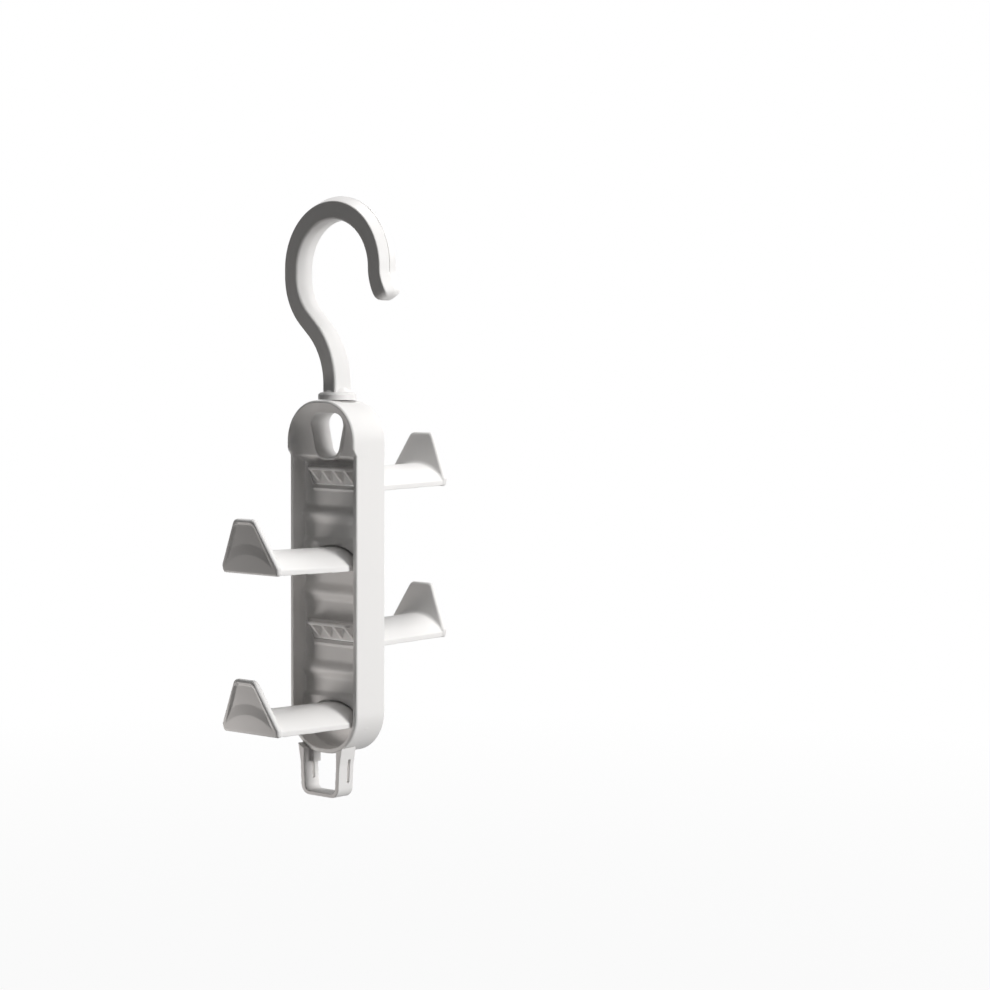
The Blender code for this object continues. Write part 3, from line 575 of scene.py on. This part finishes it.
def rounded_block(y_low, y_high, round_size, outline):
    """A loft along Y, drawn in at both ends to round its edges. The outline takes an inset."""
    shares = ((0.0, 1.0), (ROUND_MIDDLE_SHARE, ROUND_MIDDLE_SHARE), (1.0, 0.0))
    rings = []
    ends = []
    for depth, inset in shares:
        drawn_in = outline(round_size * inset)
        rings.append(in_plane_y(drawn_in, y_low + round_size * depth))
        ends.append(in_plane_y(drawn_in, y_high - round_size * depth))
    return rings + ends[::-1]


def smooth(share):
    """Goes softly from 0 to 1 as the share does."""
    return (1 - math.cos(math.pi * share)) / 2


def block_rings():
    """The proud front of the top block. Its lower end ramps softly down to the rim."""
    foot = BLOCK_BASE + BLOCK_RAMP_DROP
    ramp_steps = 16
    rings = [in_plane_y(body_outline(-BLOCK_OUTSET, foot, 0.0), -HALF_WEB)]
    for i in range(ramp_steps + 1):
        share = i / ramp_steps
        y = -HALF_DEPTH - (BLOCK_PROUD - RIM_ROUND) * smooth(share)
        low = foot + (BLOCK_CHAMFER - RIM_ROUND) * share
        rings.append(in_plane_y(body_outline(-BLOCK_OUTSET, low, 0.0), y))
    inset = RIM_ROUND - BLOCK_OUTSET
    rings.append(in_plane_y(body_outline(inset, foot + BLOCK_CHAMFER - RIM_ROUND, 0.0), FRONT_PLANE))
    return rings


def dish_level(x):
    """How far in front of the middle plane the block's dish lies at its lower end."""
    inset = HALF_BODY - abs(x)
    share = max(0.0, min(1.0, (inset - DISH_RIM) / DISH_REACH))
    level = -FRONT_PLANE - FRONT_DISH_DEPTH * math.sqrt(1 - (1 - share) ** 2)
    return min(level, HALF_DEPTH - RIM_ROUND)


def apron_rings():
    """The soft ramp from the dish's lower end back to the web, drawn as level slices."""
    apron_steps = 20
    apron_points = 80
    half = RECESS_HALF + RIM_WALL / 2
    inside = HALF_WEB - SINK
    rings = []
    for i in range(apron_steps + 1):
        share = i / apron_steps
        z = BLOCK_BASE + SINK - (APRON_HEIGHT + SINK) * share
        reach = 1 - smooth(share)
        edge = [
            (x, -inside - reach * (dish_level(x) - SINK - inside), z)
            for x in spread(half, apron_points)
        ]
        rings.append(edge + [(half, inside, z), (-half, inside, z)])
    return rings


def dish_rings(plane, depth, side):
    """A smooth dish let into the top block, open at the block's lower end."""
    low = BLOCK_BASE - OVERRUN
    rings = [in_plane_y(body_outline(DISH_RIM, low, 0.0), plane + side * OVERRUN)]
    steps = 20
    for i in range(1, steps + 1):
        a = math.pi / 2 * i / steps
        inset = DISH_RIM + DISH_REACH * (1 - math.cos(a))
        y = plane - side * depth * math.sin(a)
        rings.append(in_plane_y(body_outline(inset, low - inset, 0.0), y))
    return rings


def hole_outline(outset):
    top = HOLE_TOP_WIDTH / 2
    low = HOLE_BOTTOM_WIDTH / 2
    base = HOLE_TOP - HOLE_HEIGHT
    corners = [(-low, base), (low, base), (top, HOLE_TOP), (-top, HOLE_TOP)]
    radii = (HOLE_BOTTOM_RADIUS, HOLE_BOTTOM_RADIUS, HOLE_TOP_RADIUS, HOLE_TOP_RADIUS)
    return rounded(corners, radii, -outset)


def window_rings(index):
    """The window that an arm's tail goes through: wide at the top, narrower at its sill."""
    low = arm_level(index) + WINDOW_SILL
    top = arm_level(index) + WINDOW_TOP
    outline = [
        (-WINDOW_LOW_HALF, low),
        (WINDOW_LOW_HALF, low),
        (WINDOW_TOP_HALF, top),
        (-WINDOW_TOP_HALF, top),
    ]
    return slab(outline, -HALF_WEB - OVERRUN, HALF_WEB + OVERRUN)


def brow_rings(index, side):
    """The arched shoulder on the web over an arm's root."""
    brow_steps = 56
    face_top = arm_level(index) + WINDOW_TOP + BROW_FACE
    rings = []
    for x in spread(RECESS_HALF + RIM_WALL / 2, brow_steps):
        low = arm_level(index) + arch(x) + PLATE_THICKNESS + BROW_GAP
        profile = (
            (HALF_WEB - SINK, low),
            (HALF_WEB + BROW_PROUD, low),
            (HALF_WEB + BROW_PROUD, face_top),
            (HALF_WEB, face_top + BROW_RAMP),
            (HALF_WEB - SINK, face_top + BROW_RAMP),
        )
        rings.append([(x, side * out, z) for out, z in profile])
    return rings


def sill_rings(index, side):
    """The ledge under a window, on the side where the arm's tail shows."""
    middle = arm_level(index) + WINDOW_SILL - SILL_RIB_DROP
    half = SILL_RIB_HEIGHT / 2
    profile = (
        (HALF_WEB - SINK, middle + half),
        (HALF_WEB, middle + half),
        (HALF_WEB + SILL_RIB_PROUD, middle + half / 3),
        (HALF_WEB + SILL_RIB_PROUD, middle - half / 3),
        (HALF_WEB, middle - half),
        (HALF_WEB - SINK, middle - half),
    )
    return [[(x, -side * out, z) for out, z in profile] for x in (-WINDOW_LOW_HALF, WINDOW_LOW_HALF)]


def slot_y():
    return FRONT_PLANE + LOOP_DEPTH - SLOT_BACK - SLOT_WIDTH / 2


def prong_outer():
    return LOOP_NECK_WIDTH / 2 - LOOP_BAR - GAP


def prongs(side):
    """A prong under the frame's end, and the nib on it that snaps into the loop's slot."""
    outer = prong_outer()
    foot = BODY_BASE - PRONG_DROP
    middle = slot_y()
    root = BODY_BASE + BOTTOM_RADIUS - math.sqrt((BOTTOM_RADIUS - SINK) ** 2 - outer**2)
    xs = sorted((side * (outer - PRONG_WIDTH), side * outer))
    prong = box((xs[0], middle - PRONG_DEPTH / 2, foot), (xs[1], middle + PRONG_DEPTH / 2, root))
    nib_top = BODY_BASE - SLOT_TOP_DROP - GAP
    half = SLOT_WIDTH / 2 - GAP
    xs = sorted((side * (outer - SINK), side * (outer + NIB_REACH)))
    nib = box((xs[0], middle - half, nib_top - NIB_HEIGHT), (xs[1], middle + half, nib_top))
    return prong, nib


def make_frame():
    body = solid("main_frame", [rounded_block(-HALF_DEPTH, HALF_DEPTH, RIM_ROUND, body_outline)])
    inner = [(-RECESS_HALF, BODY_BASE + RIM_WALL), (RECESS_HALF, BODY_BASE + RIM_WALL)]
    inner += [(RECESS_HALF, BLOCK_BASE), (-RECESS_HALF, BLOCK_BASE)]
    corner = BOTTOM_RADIUS - RIM_WALL
    recess = rounded(inner, (corner, corner, 0.0, 0.0))
    cut(body, "recess", slab(recess, -HALF_DEPTH - OVERRUN, HALF_DEPTH + OVERRUN))
    add(body, "web", web_rings())
    add(body, "block", block_rings())
    cut(body, "front_dish", dish_rings(FRONT_PLANE, FRONT_DISH_DEPTH, -1))
    cut(body, "back_dish", dish_rings(HALF_DEPTH, BACK_DISH_DEPTH, 1))
    add(body, "apron", apron_rings())
    front_floor = FRONT_PLANE + FRONT_DISH_DEPTH
    back_floor = HALF_DEPTH - BACK_DISH_DEPTH
    add(body, "lip", slab(hole_outline(LIP_WIDTH), front_floor - LIP_PROUD, back_floor + LIP_PROUD))
    cut(body, "hole", slab(hole_outline(0.0), FRONT_PLANE - OVERRUN, HALF_DEPTH + OVERRUN))
    pin = PIN_DIAMETER / 2 + GAP
    seat = SEAT_DIAMETER / 2
    cut(body, "pin_hole", turned([(pin, SEAT_TOP - SINK), (pin, BODY_TOP + OVERRUN)]))
    cut(body, "seat", turned([(seat, HOLE_TOP - OVERRUN), (seat, SEAT_TOP)]))
    cut(body, "windows", *(window_rings(index) for _, index, _ in ARMS))
    add(body, "brows", *(brow_rings(index, side) for _, index, side in ARMS))
    add(body, "sills", *(sill_rings(index, side) for _, index, side in ARMS))
    for side in (-1, 1):
        prong, nib = prongs(side)
        add(body, "prong", prong)
        add(body, "nib", nib)
    return body


# Arms: built round the pivot, which is the middle of the window's top edge, with the reach along -Y


def plate_ring(y, rise, half, skin):
    plate_steps = 56
    under = [(x, y, arch(x) + rise + skin - WINDOW_TOP) for x in spread(half, plate_steps)]
    top = PLATE_THICKNESS - skin - WINDOW_TOP
    over = [(x, y, arch(x) + rise + top) for x in reversed(spread(half, plate_steps))]
    return under + over


def leaning(outline, depth):
    """An outline of (x, distance up the lip), laid in the leaning lip at a depth under its outer face."""
    lean = math.radians(LIP_LEAN_DEG)
    rise = (ARM_REACH + HALF_DEPTH - ROOT) * math.tan(math.radians(ARM_TILT_DEG)) - WINDOW_TOP
    out = ARM_REACH + HALF_DEPTH
    return [
        (
            x,
            -(out + up * math.sin(lean) - depth * math.cos(lean)),
            rise + up * math.cos(lean) + depth * math.sin(lean),
        )
        for x, up in outline
    ]


def lip_rings():
    top = LIP_TOP_WIDTH / 2
    foot = ARM_HALF + LIP_FOOT_OUTSET
    belly = ARM_HALF + LIP_BELLY
    right = [(foot, -LIP_FOOT_DROP), (belly, LIP_BELLY_HEIGHT), (top, LIP_HEIGHT)]
    corners = right + [(-x, up) for x, up in reversed(right)]
    radii = (LIP_EDGE, LIP_EDGE, LIP_CORNER, LIP_CORNER, LIP_EDGE, LIP_EDGE)
    front = []
    back = []
    for i in range(LIP_EDGE_STEPS + 1):
        turn = math.pi / 2 * i / LIP_EDGE_STEPS
        inset = LIP_EDGE * (1 - math.sin(turn))
        depth = LIP_EDGE * (1 - math.cos(turn))
        outline = rounded(corners, [radius + inset for radius in radii], inset)
        front.append(leaning(outline, depth))
        back.append(leaning(outline, LIP_THICKNESS - depth))
    return front + back[::-1]


def lip_fillet_rings():
    """The round corner between the plate's top and the lip's inner face."""
    lean = math.radians(LIP_LEAN_DEG)
    far = ARM_REACH + HALF_DEPTH
    tilt = math.tan(math.radians(ARM_TILT_DEG))
    foot = (far - ROOT) * tilt - WINDOW_TOP
    fillet_points = 8
    plate_steps = 56
    rings = []
    for x in spread(ARM_HALF - SINK, plate_steps):
        top = arch(x) + (far - LIP_THICKNESS - ROOT) * tilt + PLATE_THICKNESS - WINDOW_TOP
        up = (top - foot - LIP_THICKNESS * math.sin(lean)) / math.cos(lean)
        corner_y = -(far + up * math.sin(lean) - LIP_THICKNESS * math.cos(lean))
        ring = []
        for i in range(fillet_points + 1):
            share = i / fillet_points
            start = LIP_FILLET * (1 - share) ** 2
            end = LIP_FILLET * share**2
            y = corner_y + start - end * math.sin(lean)
            ring.append((x, y, top + end * math.cos(lean)))
        ring.append((x, corner_y - SINK, top - SINK))
        rings.append(ring)
    return rings


def panel_outline(border, foot):
    """The panel's outline: its foot follows the plate's arch at a height over it."""
    belly = ARM_HALF + LIP_BELLY
    slope = (belly - LIP_TOP_WIDTH / 2) / (LIP_HEIGHT - LIP_BELLY_HEIGHT)
    side = belly - border * math.hypot(1.0, slope)
    top = LIP_HEIGHT - border

    def half(up):
        return side - slope * (up - LIP_BELLY_HEIGHT)

    foot_half = half(arch(side) + foot + LIP_BELLY_HEIGHT)
    foot_steps = 40
    outline = [(x, arch(x) + foot) for x in spread(foot_half, foot_steps)]
    corner = LIP_CORNER - border
    outline.append((half(top - corner), top - corner))
    outline.append((half(top) - corner, top))
    outline.append((corner - half(top), top))
    outline.append((-half(top - corner), top - corner))
    return outline


def panel_rings():
    """The shallow panel in the lip's outer face, with sloping sides and a long ramp at its foot."""
    over = PANEL_OVER_SHARE
    outer = panel_outline(PANEL_BORDER - over * PANEL_SLOPE, PANEL_FOOT - over * PANEL_FOOT_RAMP)
    inner = panel_outline(PANEL_BORDER + PANEL_SLOPE, PANEL_FOOT + PANEL_FOOT_RAMP)
    return [leaning(outer, -over * PANEL_DEPTH), leaning(inner, PANEL_DEPTH)]


def tail_half(z):
    """Half of the tail's width at a height, a gap inside the window."""
    return WINDOW_LOW_HALF - GAP + WINDOW_SLOPE * (z - WINDOW_SILL)


def tail_rings():
    """The block that fills the window."""
    face = TAIL_INSET - HALF_WEB
    low = WINDOW_SILL + GAP
    top = WINDOW_TOP - GAP
    profile = ((TAIL_NEAR, low), (TAIL_NEAR, top), (face, top), (face, low))
    return [
        [(side * tail_half(z), -out, z - WINDOW_TOP) for out, z in profile] for side in (-1, 1)
    ]


def shelf_rings():
    """The shelf on top of the tail, narrower at its free edge, seen from above as a tapered strip."""
    top = WINDOW_TOP - GAP
    rings = []
    for z in (top - TAIL_SHELF_THICKNESS, top):
        root = tail_half(top - TAIL_SHELF_THICKNESS) - TAIL_SHELF_INSET
        tip = root - TAIL_SHELF_TAPER
        reach = -HALF_WEB - TAIL_SHELF_REACH
        start = SINK - HALF_WEB
        corners = ((-root, start), (root, start), (tip, reach), (-tip, reach))
        rings.append([(x, -out, z - WINDOW_TOP) for x, out in corners])
    return rings


def hook_strip():
    """The strip that stands on the shelf and catches behind the web, over the window."""
    behind = HALF_WEB + GAP
    half = tail_half(WINDOW_TOP - GAP - TAIL_SHELF_THICKNESS) - TAIL_HOOK_THICKNESS
    low = -GAP - TAIL_SHELF_THICKNESS / 2
    return box((-half, behind, low), (half, behind + TAIL_HOOK_THICKNESS, TAIL_HOOK_HEIGHT))


def gusset_rings(x):
    """A slanting web under the tail's shelf, proud at the top and running back to the frame."""
    face = TAIL_INSET - HALF_WEB
    reach = GAP - HALF_WEB - TAIL_SHELF_REACH
    shelf = WINDOW_TOP - GAP - TAIL_SHELF_THICKNESS
    foot = max(shelf - (face - reach), WINDOW_SILL + 2 * GAP)
    profile = (
        (face + SINK, foot),
        (face, foot),
        (reach, shelf),
        (reach, shelf + SINK),
        (face + SINK, shelf + SINK),
    )
    half = GUSSET_THICKNESS / 2
    return [[(x + side * half, -out, z - WINDOW_TOP) for out, z in profile] for side in (-1, 1)]


def make_arm():
    far = ARM_REACH + HALF_DEPTH - LIP_THICKNESS / 2
    rise = (far - ROOT) * math.tan(math.radians(ARM_TILT_DEG))
    plate = [plate_ring(-ROOT, 0.0, ARM_HALF, 0.0), plate_ring(-far, rise, ARM_HALF, 0.0)]
    arm = solid("arm", [plate])
    add(arm, "lip", lip_rings())
    add(arm, "fillet", lip_fillet_rings())
    cut(arm, "panel", panel_rings())
    neck_half = WINDOW_LOW_HALF - NECK_MARGIN
    near = TAIL_NEAR - SINK
    neck = [plate_ring(y, 0.0, neck_half, NECK_SKIN) for y in (-near, -ROOT - SINK)]
    add(arm, "neck", neck)
    add(arm, "tail", tail_rings())
    add(arm, "shelf", shelf_rings())
    add(arm, "hook_strip", hook_strip())
    shelf_tip = tail_half(WINDOW_TOP - GAP - TAIL_SHELF_THICKNESS) - TAIL_SHELF_TAPER
    outer = shelf_tip - GUSSET_THICKNESS / 2 - GAP
    add(arm, "gussets", *(gusset_rings(x) for x in spread(outer, GUSSET_COUNT - 1)))
    return arm


# Link loop


def make_loop():
    """A trapezoid loop, open at the top, whose bars end on the frame's round end."""
    base = BODY_BASE - LOOP_DROP
    neck = BODY_BASE - LOOP_NECK_DROP
    top = BODY_BASE + LOOP_TOP_HEIGHT
    halves = (LOOP_BASE_WIDTH / 2, LOOP_NECK_WIDTH / 2, LOOP_TOP_WIDTH / 2)
    right = list(zip(halves, (base, neck, top)))
    left = [(-x, z) for x, z in reversed(right)]
    radii = (LOOP_CORNER, LOOP_CORNER, 0.0, 0.0, 0.0, 0.0)
    outer = rounded(left[-1:] + right + left[:-1], radii)
    loop = solid("link_loop", [slab(outer, FRONT_PLANE, FRONT_PLANE + LOOP_DEPTH)])
    floor = base + LOOP_BASE_BAR
    inner_right = [
        (halves[0] - LOOP_BAR, floor),
        (halves[1] - LOOP_BAR, neck),
        (halves[1] - LOOP_BAR, top + OVERRUN),
    ]
    inner = inner_right + [(-x, z) for x, z in reversed(inner_right)]
    inner_corner = LOOP_CORNER - LOOP_BAR
    inner = rounded(inner[-1:] + inner[:-1], (inner_corner, inner_corner, 0.0, 0.0, 0.0, 0.0))
    cut(loop, "opening", slab(inner, FRONT_PLANE - OVERRUN, FRONT_PLANE + LOOP_DEPTH + OVERRUN))
    room = body_outline(-GAP)
    cut(loop, "frame_end", slab(room, FRONT_PLANE - OVERRUN, FRONT_PLANE + LOOP_DEPTH + OVERRUN))
    slot_top = BODY_BASE - SLOT_TOP_DROP
    half = SLOT_WIDTH / 2
    low = (-HALF_BODY, slot_y() - half, slot_top - SLOT_HEIGHT)
    cut(loop, "slots", box(low, (HALF_BODY, slot_y() + half, slot_top)))
    return loop


# Softly rounded mouldings


def soften(obj, grid_size, faces_kept):
    """Fuses the shape on a fine grid, smooths its edges and thins its flat faces."""
    grid = obj.modifiers.new("grid", "REMESH")
    grid.mode = "VOXEL"
    grid.voxel_size = grid_size
    even = obj.modifiers.new("even", "SMOOTH")
    even.factor = SMOOTH_FACTOR
    even.iterations = SMOOTH_ROUNDS
    thin = obj.modifiers.new("thin", "DECIMATE")
    thin.ratio = faces_kept
    bpy.context.view_layer.update()
    graph = bpy.context.evaluated_depsgraph_get()
    result = bpy.data.meshes.new_from_object(obj.evaluated_get(graph))
    obj.modifiers.clear()
    obj.data = result
    obj.data.shade_smooth()


def crease(obj):
    """Smooth shading that keeps the sharp lines, such as the groove along the hook's ridge."""
    obj.data.shade_smooth()
    obj.data.set_sharp_from_angle(angle=math.radians(CREASE_DEG))


def dress(obj, node, body, look):
    """Puts a moulding in its CAD node's place."""
    obj.name = node + "_moulding"
    obj.data.name = obj.name
    obj.data.materials.clear()
    obj.data.materials.append(look)
    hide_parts(node)
    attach(obj, body)


# Materials


def new_material(name):
    made = bpy.data.materials.new(name)
    made.use_nodes = True
    return made, made.node_tree, made.node_tree.nodes["Principled BSDF"]


def noise(tree, scale, detail):
    where = tree.nodes.new("ShaderNodeTexCoord")
    made = tree.nodes.new("ShaderNodeTexNoise")
    made.inputs["Scale"].default_value = scale
    made.inputs["Detail"].default_value = detail
    tree.links.new(where.outputs["Object"], made.inputs["Vector"])
    return made


def vary_roughness(tree, shader, value, low_and_high):
    made = tree.nodes.new("ShaderNodeMapRange")
    made.inputs["To Min"].default_value, made.inputs["To Max"].default_value = low_and_high
    tree.links.new(value, made.inputs["Value"])
    tree.links.new(made.outputs["Result"], shader.inputs["Roughness"])


def grain(tree, shader, height, strength, depth):
    bump = tree.nodes.new("ShaderNodeBump")
    bump.inputs["Strength"].default_value = strength
    bump.inputs["Distance"].default_value = depth
    tree.links.new(height, bump.inputs["Height"])
    tree.links.new(bump.outputs["Normal"], shader.inputs["Normal"])


def white_plastic():
    """Satin moulded plastic: a fine spark-eroded grain, and a roughness that drifts a little."""
    made, tree, shader = new_material("white_plastic")
    shader.inputs["Base Color"].default_value = PLASTIC_COLOUR
    shader.inputs["IOR"].default_value = PLASTIC_IOR
    shader.inputs["Specular IOR Level"].default_value = PLASTIC_SPECULAR
    drift = noise(tree, PLASTIC_DRIFT_SCALE, PLASTIC_DRIFT_DETAIL)
    vary_roughness(tree, shader, drift.outputs["Fac"], PLASTIC_ROUGHNESS)
    fine = noise(tree, PLASTIC_GRAIN_SCALE, PLASTIC_GRAIN_DETAIL)
    grain(tree, shader, fine.outputs["Fac"], PLASTIC_GRAIN_STRENGTH, PLASTIC_GRAIN_DEPTH)
    return made


def screw_steel():
    """Zinc-plated steel with a fine, uneven polish."""
    made, tree, shader = new_material("screw_steel")
    shader.inputs["Base Color"].default_value = STEEL_COLOUR
    shader.inputs["Metallic"].default_value = 1.0
    marks = noise(tree, STEEL_MARKS_SCALE, STEEL_MARKS_DETAIL)
    vary_roughness(tree, shader, marks.outputs["Fac"], STEEL_ROUGHNESS)
    grain(tree, shader, marks.outputs["Fac"], STEEL_MARKS_STRENGTH, STEEL_MARKS_DEPTH)
    return made


def washer_nylon():
    """Slightly waxy natural nylon."""
    made, tree, shader = new_material("washer_nylon")
    shader.inputs["Base Color"].default_value = NYLON_COLOUR
    skin = noise(tree, NYLON_SKIN_SCALE, NYLON_SKIN_DETAIL)
    vary_roughness(tree, shader, skin.outputs["Fac"], NYLON_ROUGHNESS)
    grain(tree, shader, skin.outputs["Fac"], NYLON_SKIN_STRENGTH, NYLON_SKIN_DEPTH)
    return made


def seen(tree):
    """1 for the rays that may show the white background: from the camera, off gloss or through glass."""
    path = tree.nodes.new("ShaderNodeLightPath")
    total = path.outputs["Is Camera Ray"]
    for name in ("Is Glossy Ray", "Is Transmission Ray"):
        both = tree.nodes.new("ShaderNodeMath")
        both.operation = "MAXIMUM"
        tree.links.new(total, both.inputs[0])
        tree.links.new(path.outputs[name], both.inputs[1])
        total = both.outputs["Value"]
    return total


def white_world():
    world = bpy.data.worlds.new("studio")
    bpy.context.scene.world = world
    world.use_nodes = True
    tree = world.node_tree
    tree.nodes.clear()
    out = tree.nodes.new("ShaderNodeOutputWorld")
    mix = tree.nodes.new("ShaderNodeMixShader")
    room = tree.nodes.new("ShaderNodeBackground")
    room.inputs["Color"].default_value = ROOM_COLOUR
    room.inputs["Strength"].default_value = ROOM_LIGHT
    white = tree.nodes.new("ShaderNodeBackground")
    white.inputs["Color"].default_value = WHITE
    white.inputs["Strength"].default_value = 1.0
    tree.links.new(seen(tree), mix.inputs["Fac"])
    tree.links.new(room.outputs["Background"], mix.inputs[1])
    tree.links.new(white.outputs["Background"], mix.inputs[2])
    tree.links.new(mix.outputs["Shader"], out.inputs["Surface"])


# Stage: floor, lamps and camera


def floor_look():
    """White to the eye, and dark to the light, so that the floor throws little of it back."""
    made, tree, shader = new_material("floor")
    shader.inputs["Base Color"].default_value = FLOOR_COLOUR
    shader.inputs["Roughness"].default_value = FLOOR_ROUGHNESS
    glow = tree.nodes.new("ShaderNodeEmission")
    glow.inputs["Color"].default_value = WHITE
    mix = tree.nodes.new("ShaderNodeMixShader")
    where = tree.nodes.new("ShaderNodeTexCoord")
    away = tree.nodes.new("ShaderNodeVectorMath")
    away.operation = "LENGTH"
    tree.links.new(where.outputs["Object"], away.inputs[0])
    fade = tree.nodes.new("ShaderNodeMapRange")
    fade.inputs["From Min"].default_value = FLOOR_NEAR
    fade.inputs["From Max"].default_value = FLOOR_FAR
    fade.inputs["To Min"].default_value = FLOOR_WHITE
    fade.inputs["To Max"].default_value = 1.0
    tree.links.new(away.outputs["Value"], fade.inputs["Value"])
    share = tree.nodes.new("ShaderNodeMath")
    share.operation = "MULTIPLY"
    tree.links.new(seen(tree), share.inputs[0])
    tree.links.new(fade.outputs["Result"], share.inputs[1])
    tree.links.new(share.outputs["Value"], mix.inputs["Fac"])
    tree.links.new(shader.outputs["BSDF"], mix.inputs[1])
    tree.links.new(glow.outputs["Emission"], mix.inputs[2])
    tree.links.new(mix.outputs["Shader"], tree.nodes["Material Output"].inputs["Surface"])
    return made


def make_floor():
    half = FLOOR_SIZE / 2
    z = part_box("link_loop")[0].z - FLOOR_DROP
    mesh = bpy.data.meshes.new("floor")
    corners = [(-half, -half, z), (half, -half, z), (half, half, z), (-half, half, z)]
    mesh.from_pydata(corners, [], [(0, 1, 2, 3)])
    floor = bpy.data.objects.new("floor", mesh)
    bpy.context.scene.collection.objects.link(floor)
    mesh.materials.append(floor_look())


def make_lamps():
    for name, place, size, power, colour in LAMPS:
        lamp = bpy.data.lights.new(name, "AREA")
        lamp.shape = "RECTANGLE"
        lamp.size, lamp.size_y = size
        lamp.energy = power
        lamp.color = colour
        obj = bpy.data.objects.new(name, lamp)
        obj.location = place
        obj.rotation_euler = (LAMPS_AIM - Vector(place)).to_track_quat("-Z", "Y").to_euler()
        bpy.context.scene.collection.objects.link(obj)


def make_camera():
    azimuth = math.radians(CAMERA_AZIMUTH_DEG)
    pitch = math.radians(CAMERA_PITCH_DEG)
    roll = math.radians(CAMERA_ROLL_DEG)
    ahead_x = -math.sin(azimuth) * math.cos(pitch)
    ahead_y = math.cos(azimuth) * math.cos(pitch)
    ahead = Vector((ahead_x, ahead_y, -math.sin(pitch)))
    level = Vector((math.cos(azimuth), math.sin(azimuth), 0.0))
    above = level.cross(ahead)
    right = level * math.cos(roll) + above * math.sin(roll)
    up = above * math.cos(roll) - level * math.sin(roll)
    turn = Matrix((right, up, -ahead)).transposed()
    data = bpy.data.cameras.new("camera")
    data.sensor_width = SENSOR
    data.lens = FOCAL_PIXELS / PHOTO_PIXELS * SENSOR
    camera = bpy.data.objects.new("camera", data)
    camera.matrix_world = Matrix.Translation(CAMERA_PLACE) @ turn.to_4x4()
    bpy.context.scene.collection.objects.link(camera)
    bpy.context.scene.camera = camera


def repaint(node, look):
    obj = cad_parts[node]
    obj.data.materials.clear()
    obj.data.materials.append(look)


def hang_arms(look):
    """Hangs the one arm in all four windows. Those at the back are turned half round."""
    arm = make_arm()
    soften(arm, ARM_GRID, ARM_FACES_KEPT)
    for name, index, side in ARMS:
        piece = bpy.data.objects.new(name, arm.data)
        bpy.context.scene.collection.objects.link(piece)
        piece.location = (0.0, 0.0, arm_level(index) + WINDOW_TOP)
        piece.rotation_euler = (0.0, 0.0, math.pi if side > 0 else 0.0)
        dress(piece, name, name, look)
    bpy.data.objects.remove(arm)


def main():
    bpy.context.scene.view_settings.view_transform = "Standard"
    make_camera()
    white_world()
    make_floor()
    make_lamps()
    white = white_plastic()
    hook = make_hook()
    crease(hook)
    dress(hook, "hook", "hook", white)
    body = make_frame()
    soften(body, FRAME_GRID, FRAME_FACES_KEPT)
    dress(body, "main_frame", "frame", white)
    loop = make_loop()
    soften(loop, LOOP_GRID, LOOP_FACES_KEPT)
    dress(loop, "link_loop", "frame", white)
    hang_arms(white)
    repaint("swivel_screw", screw_steel())
    repaint("thrust_washer", washer_nylon())


main()
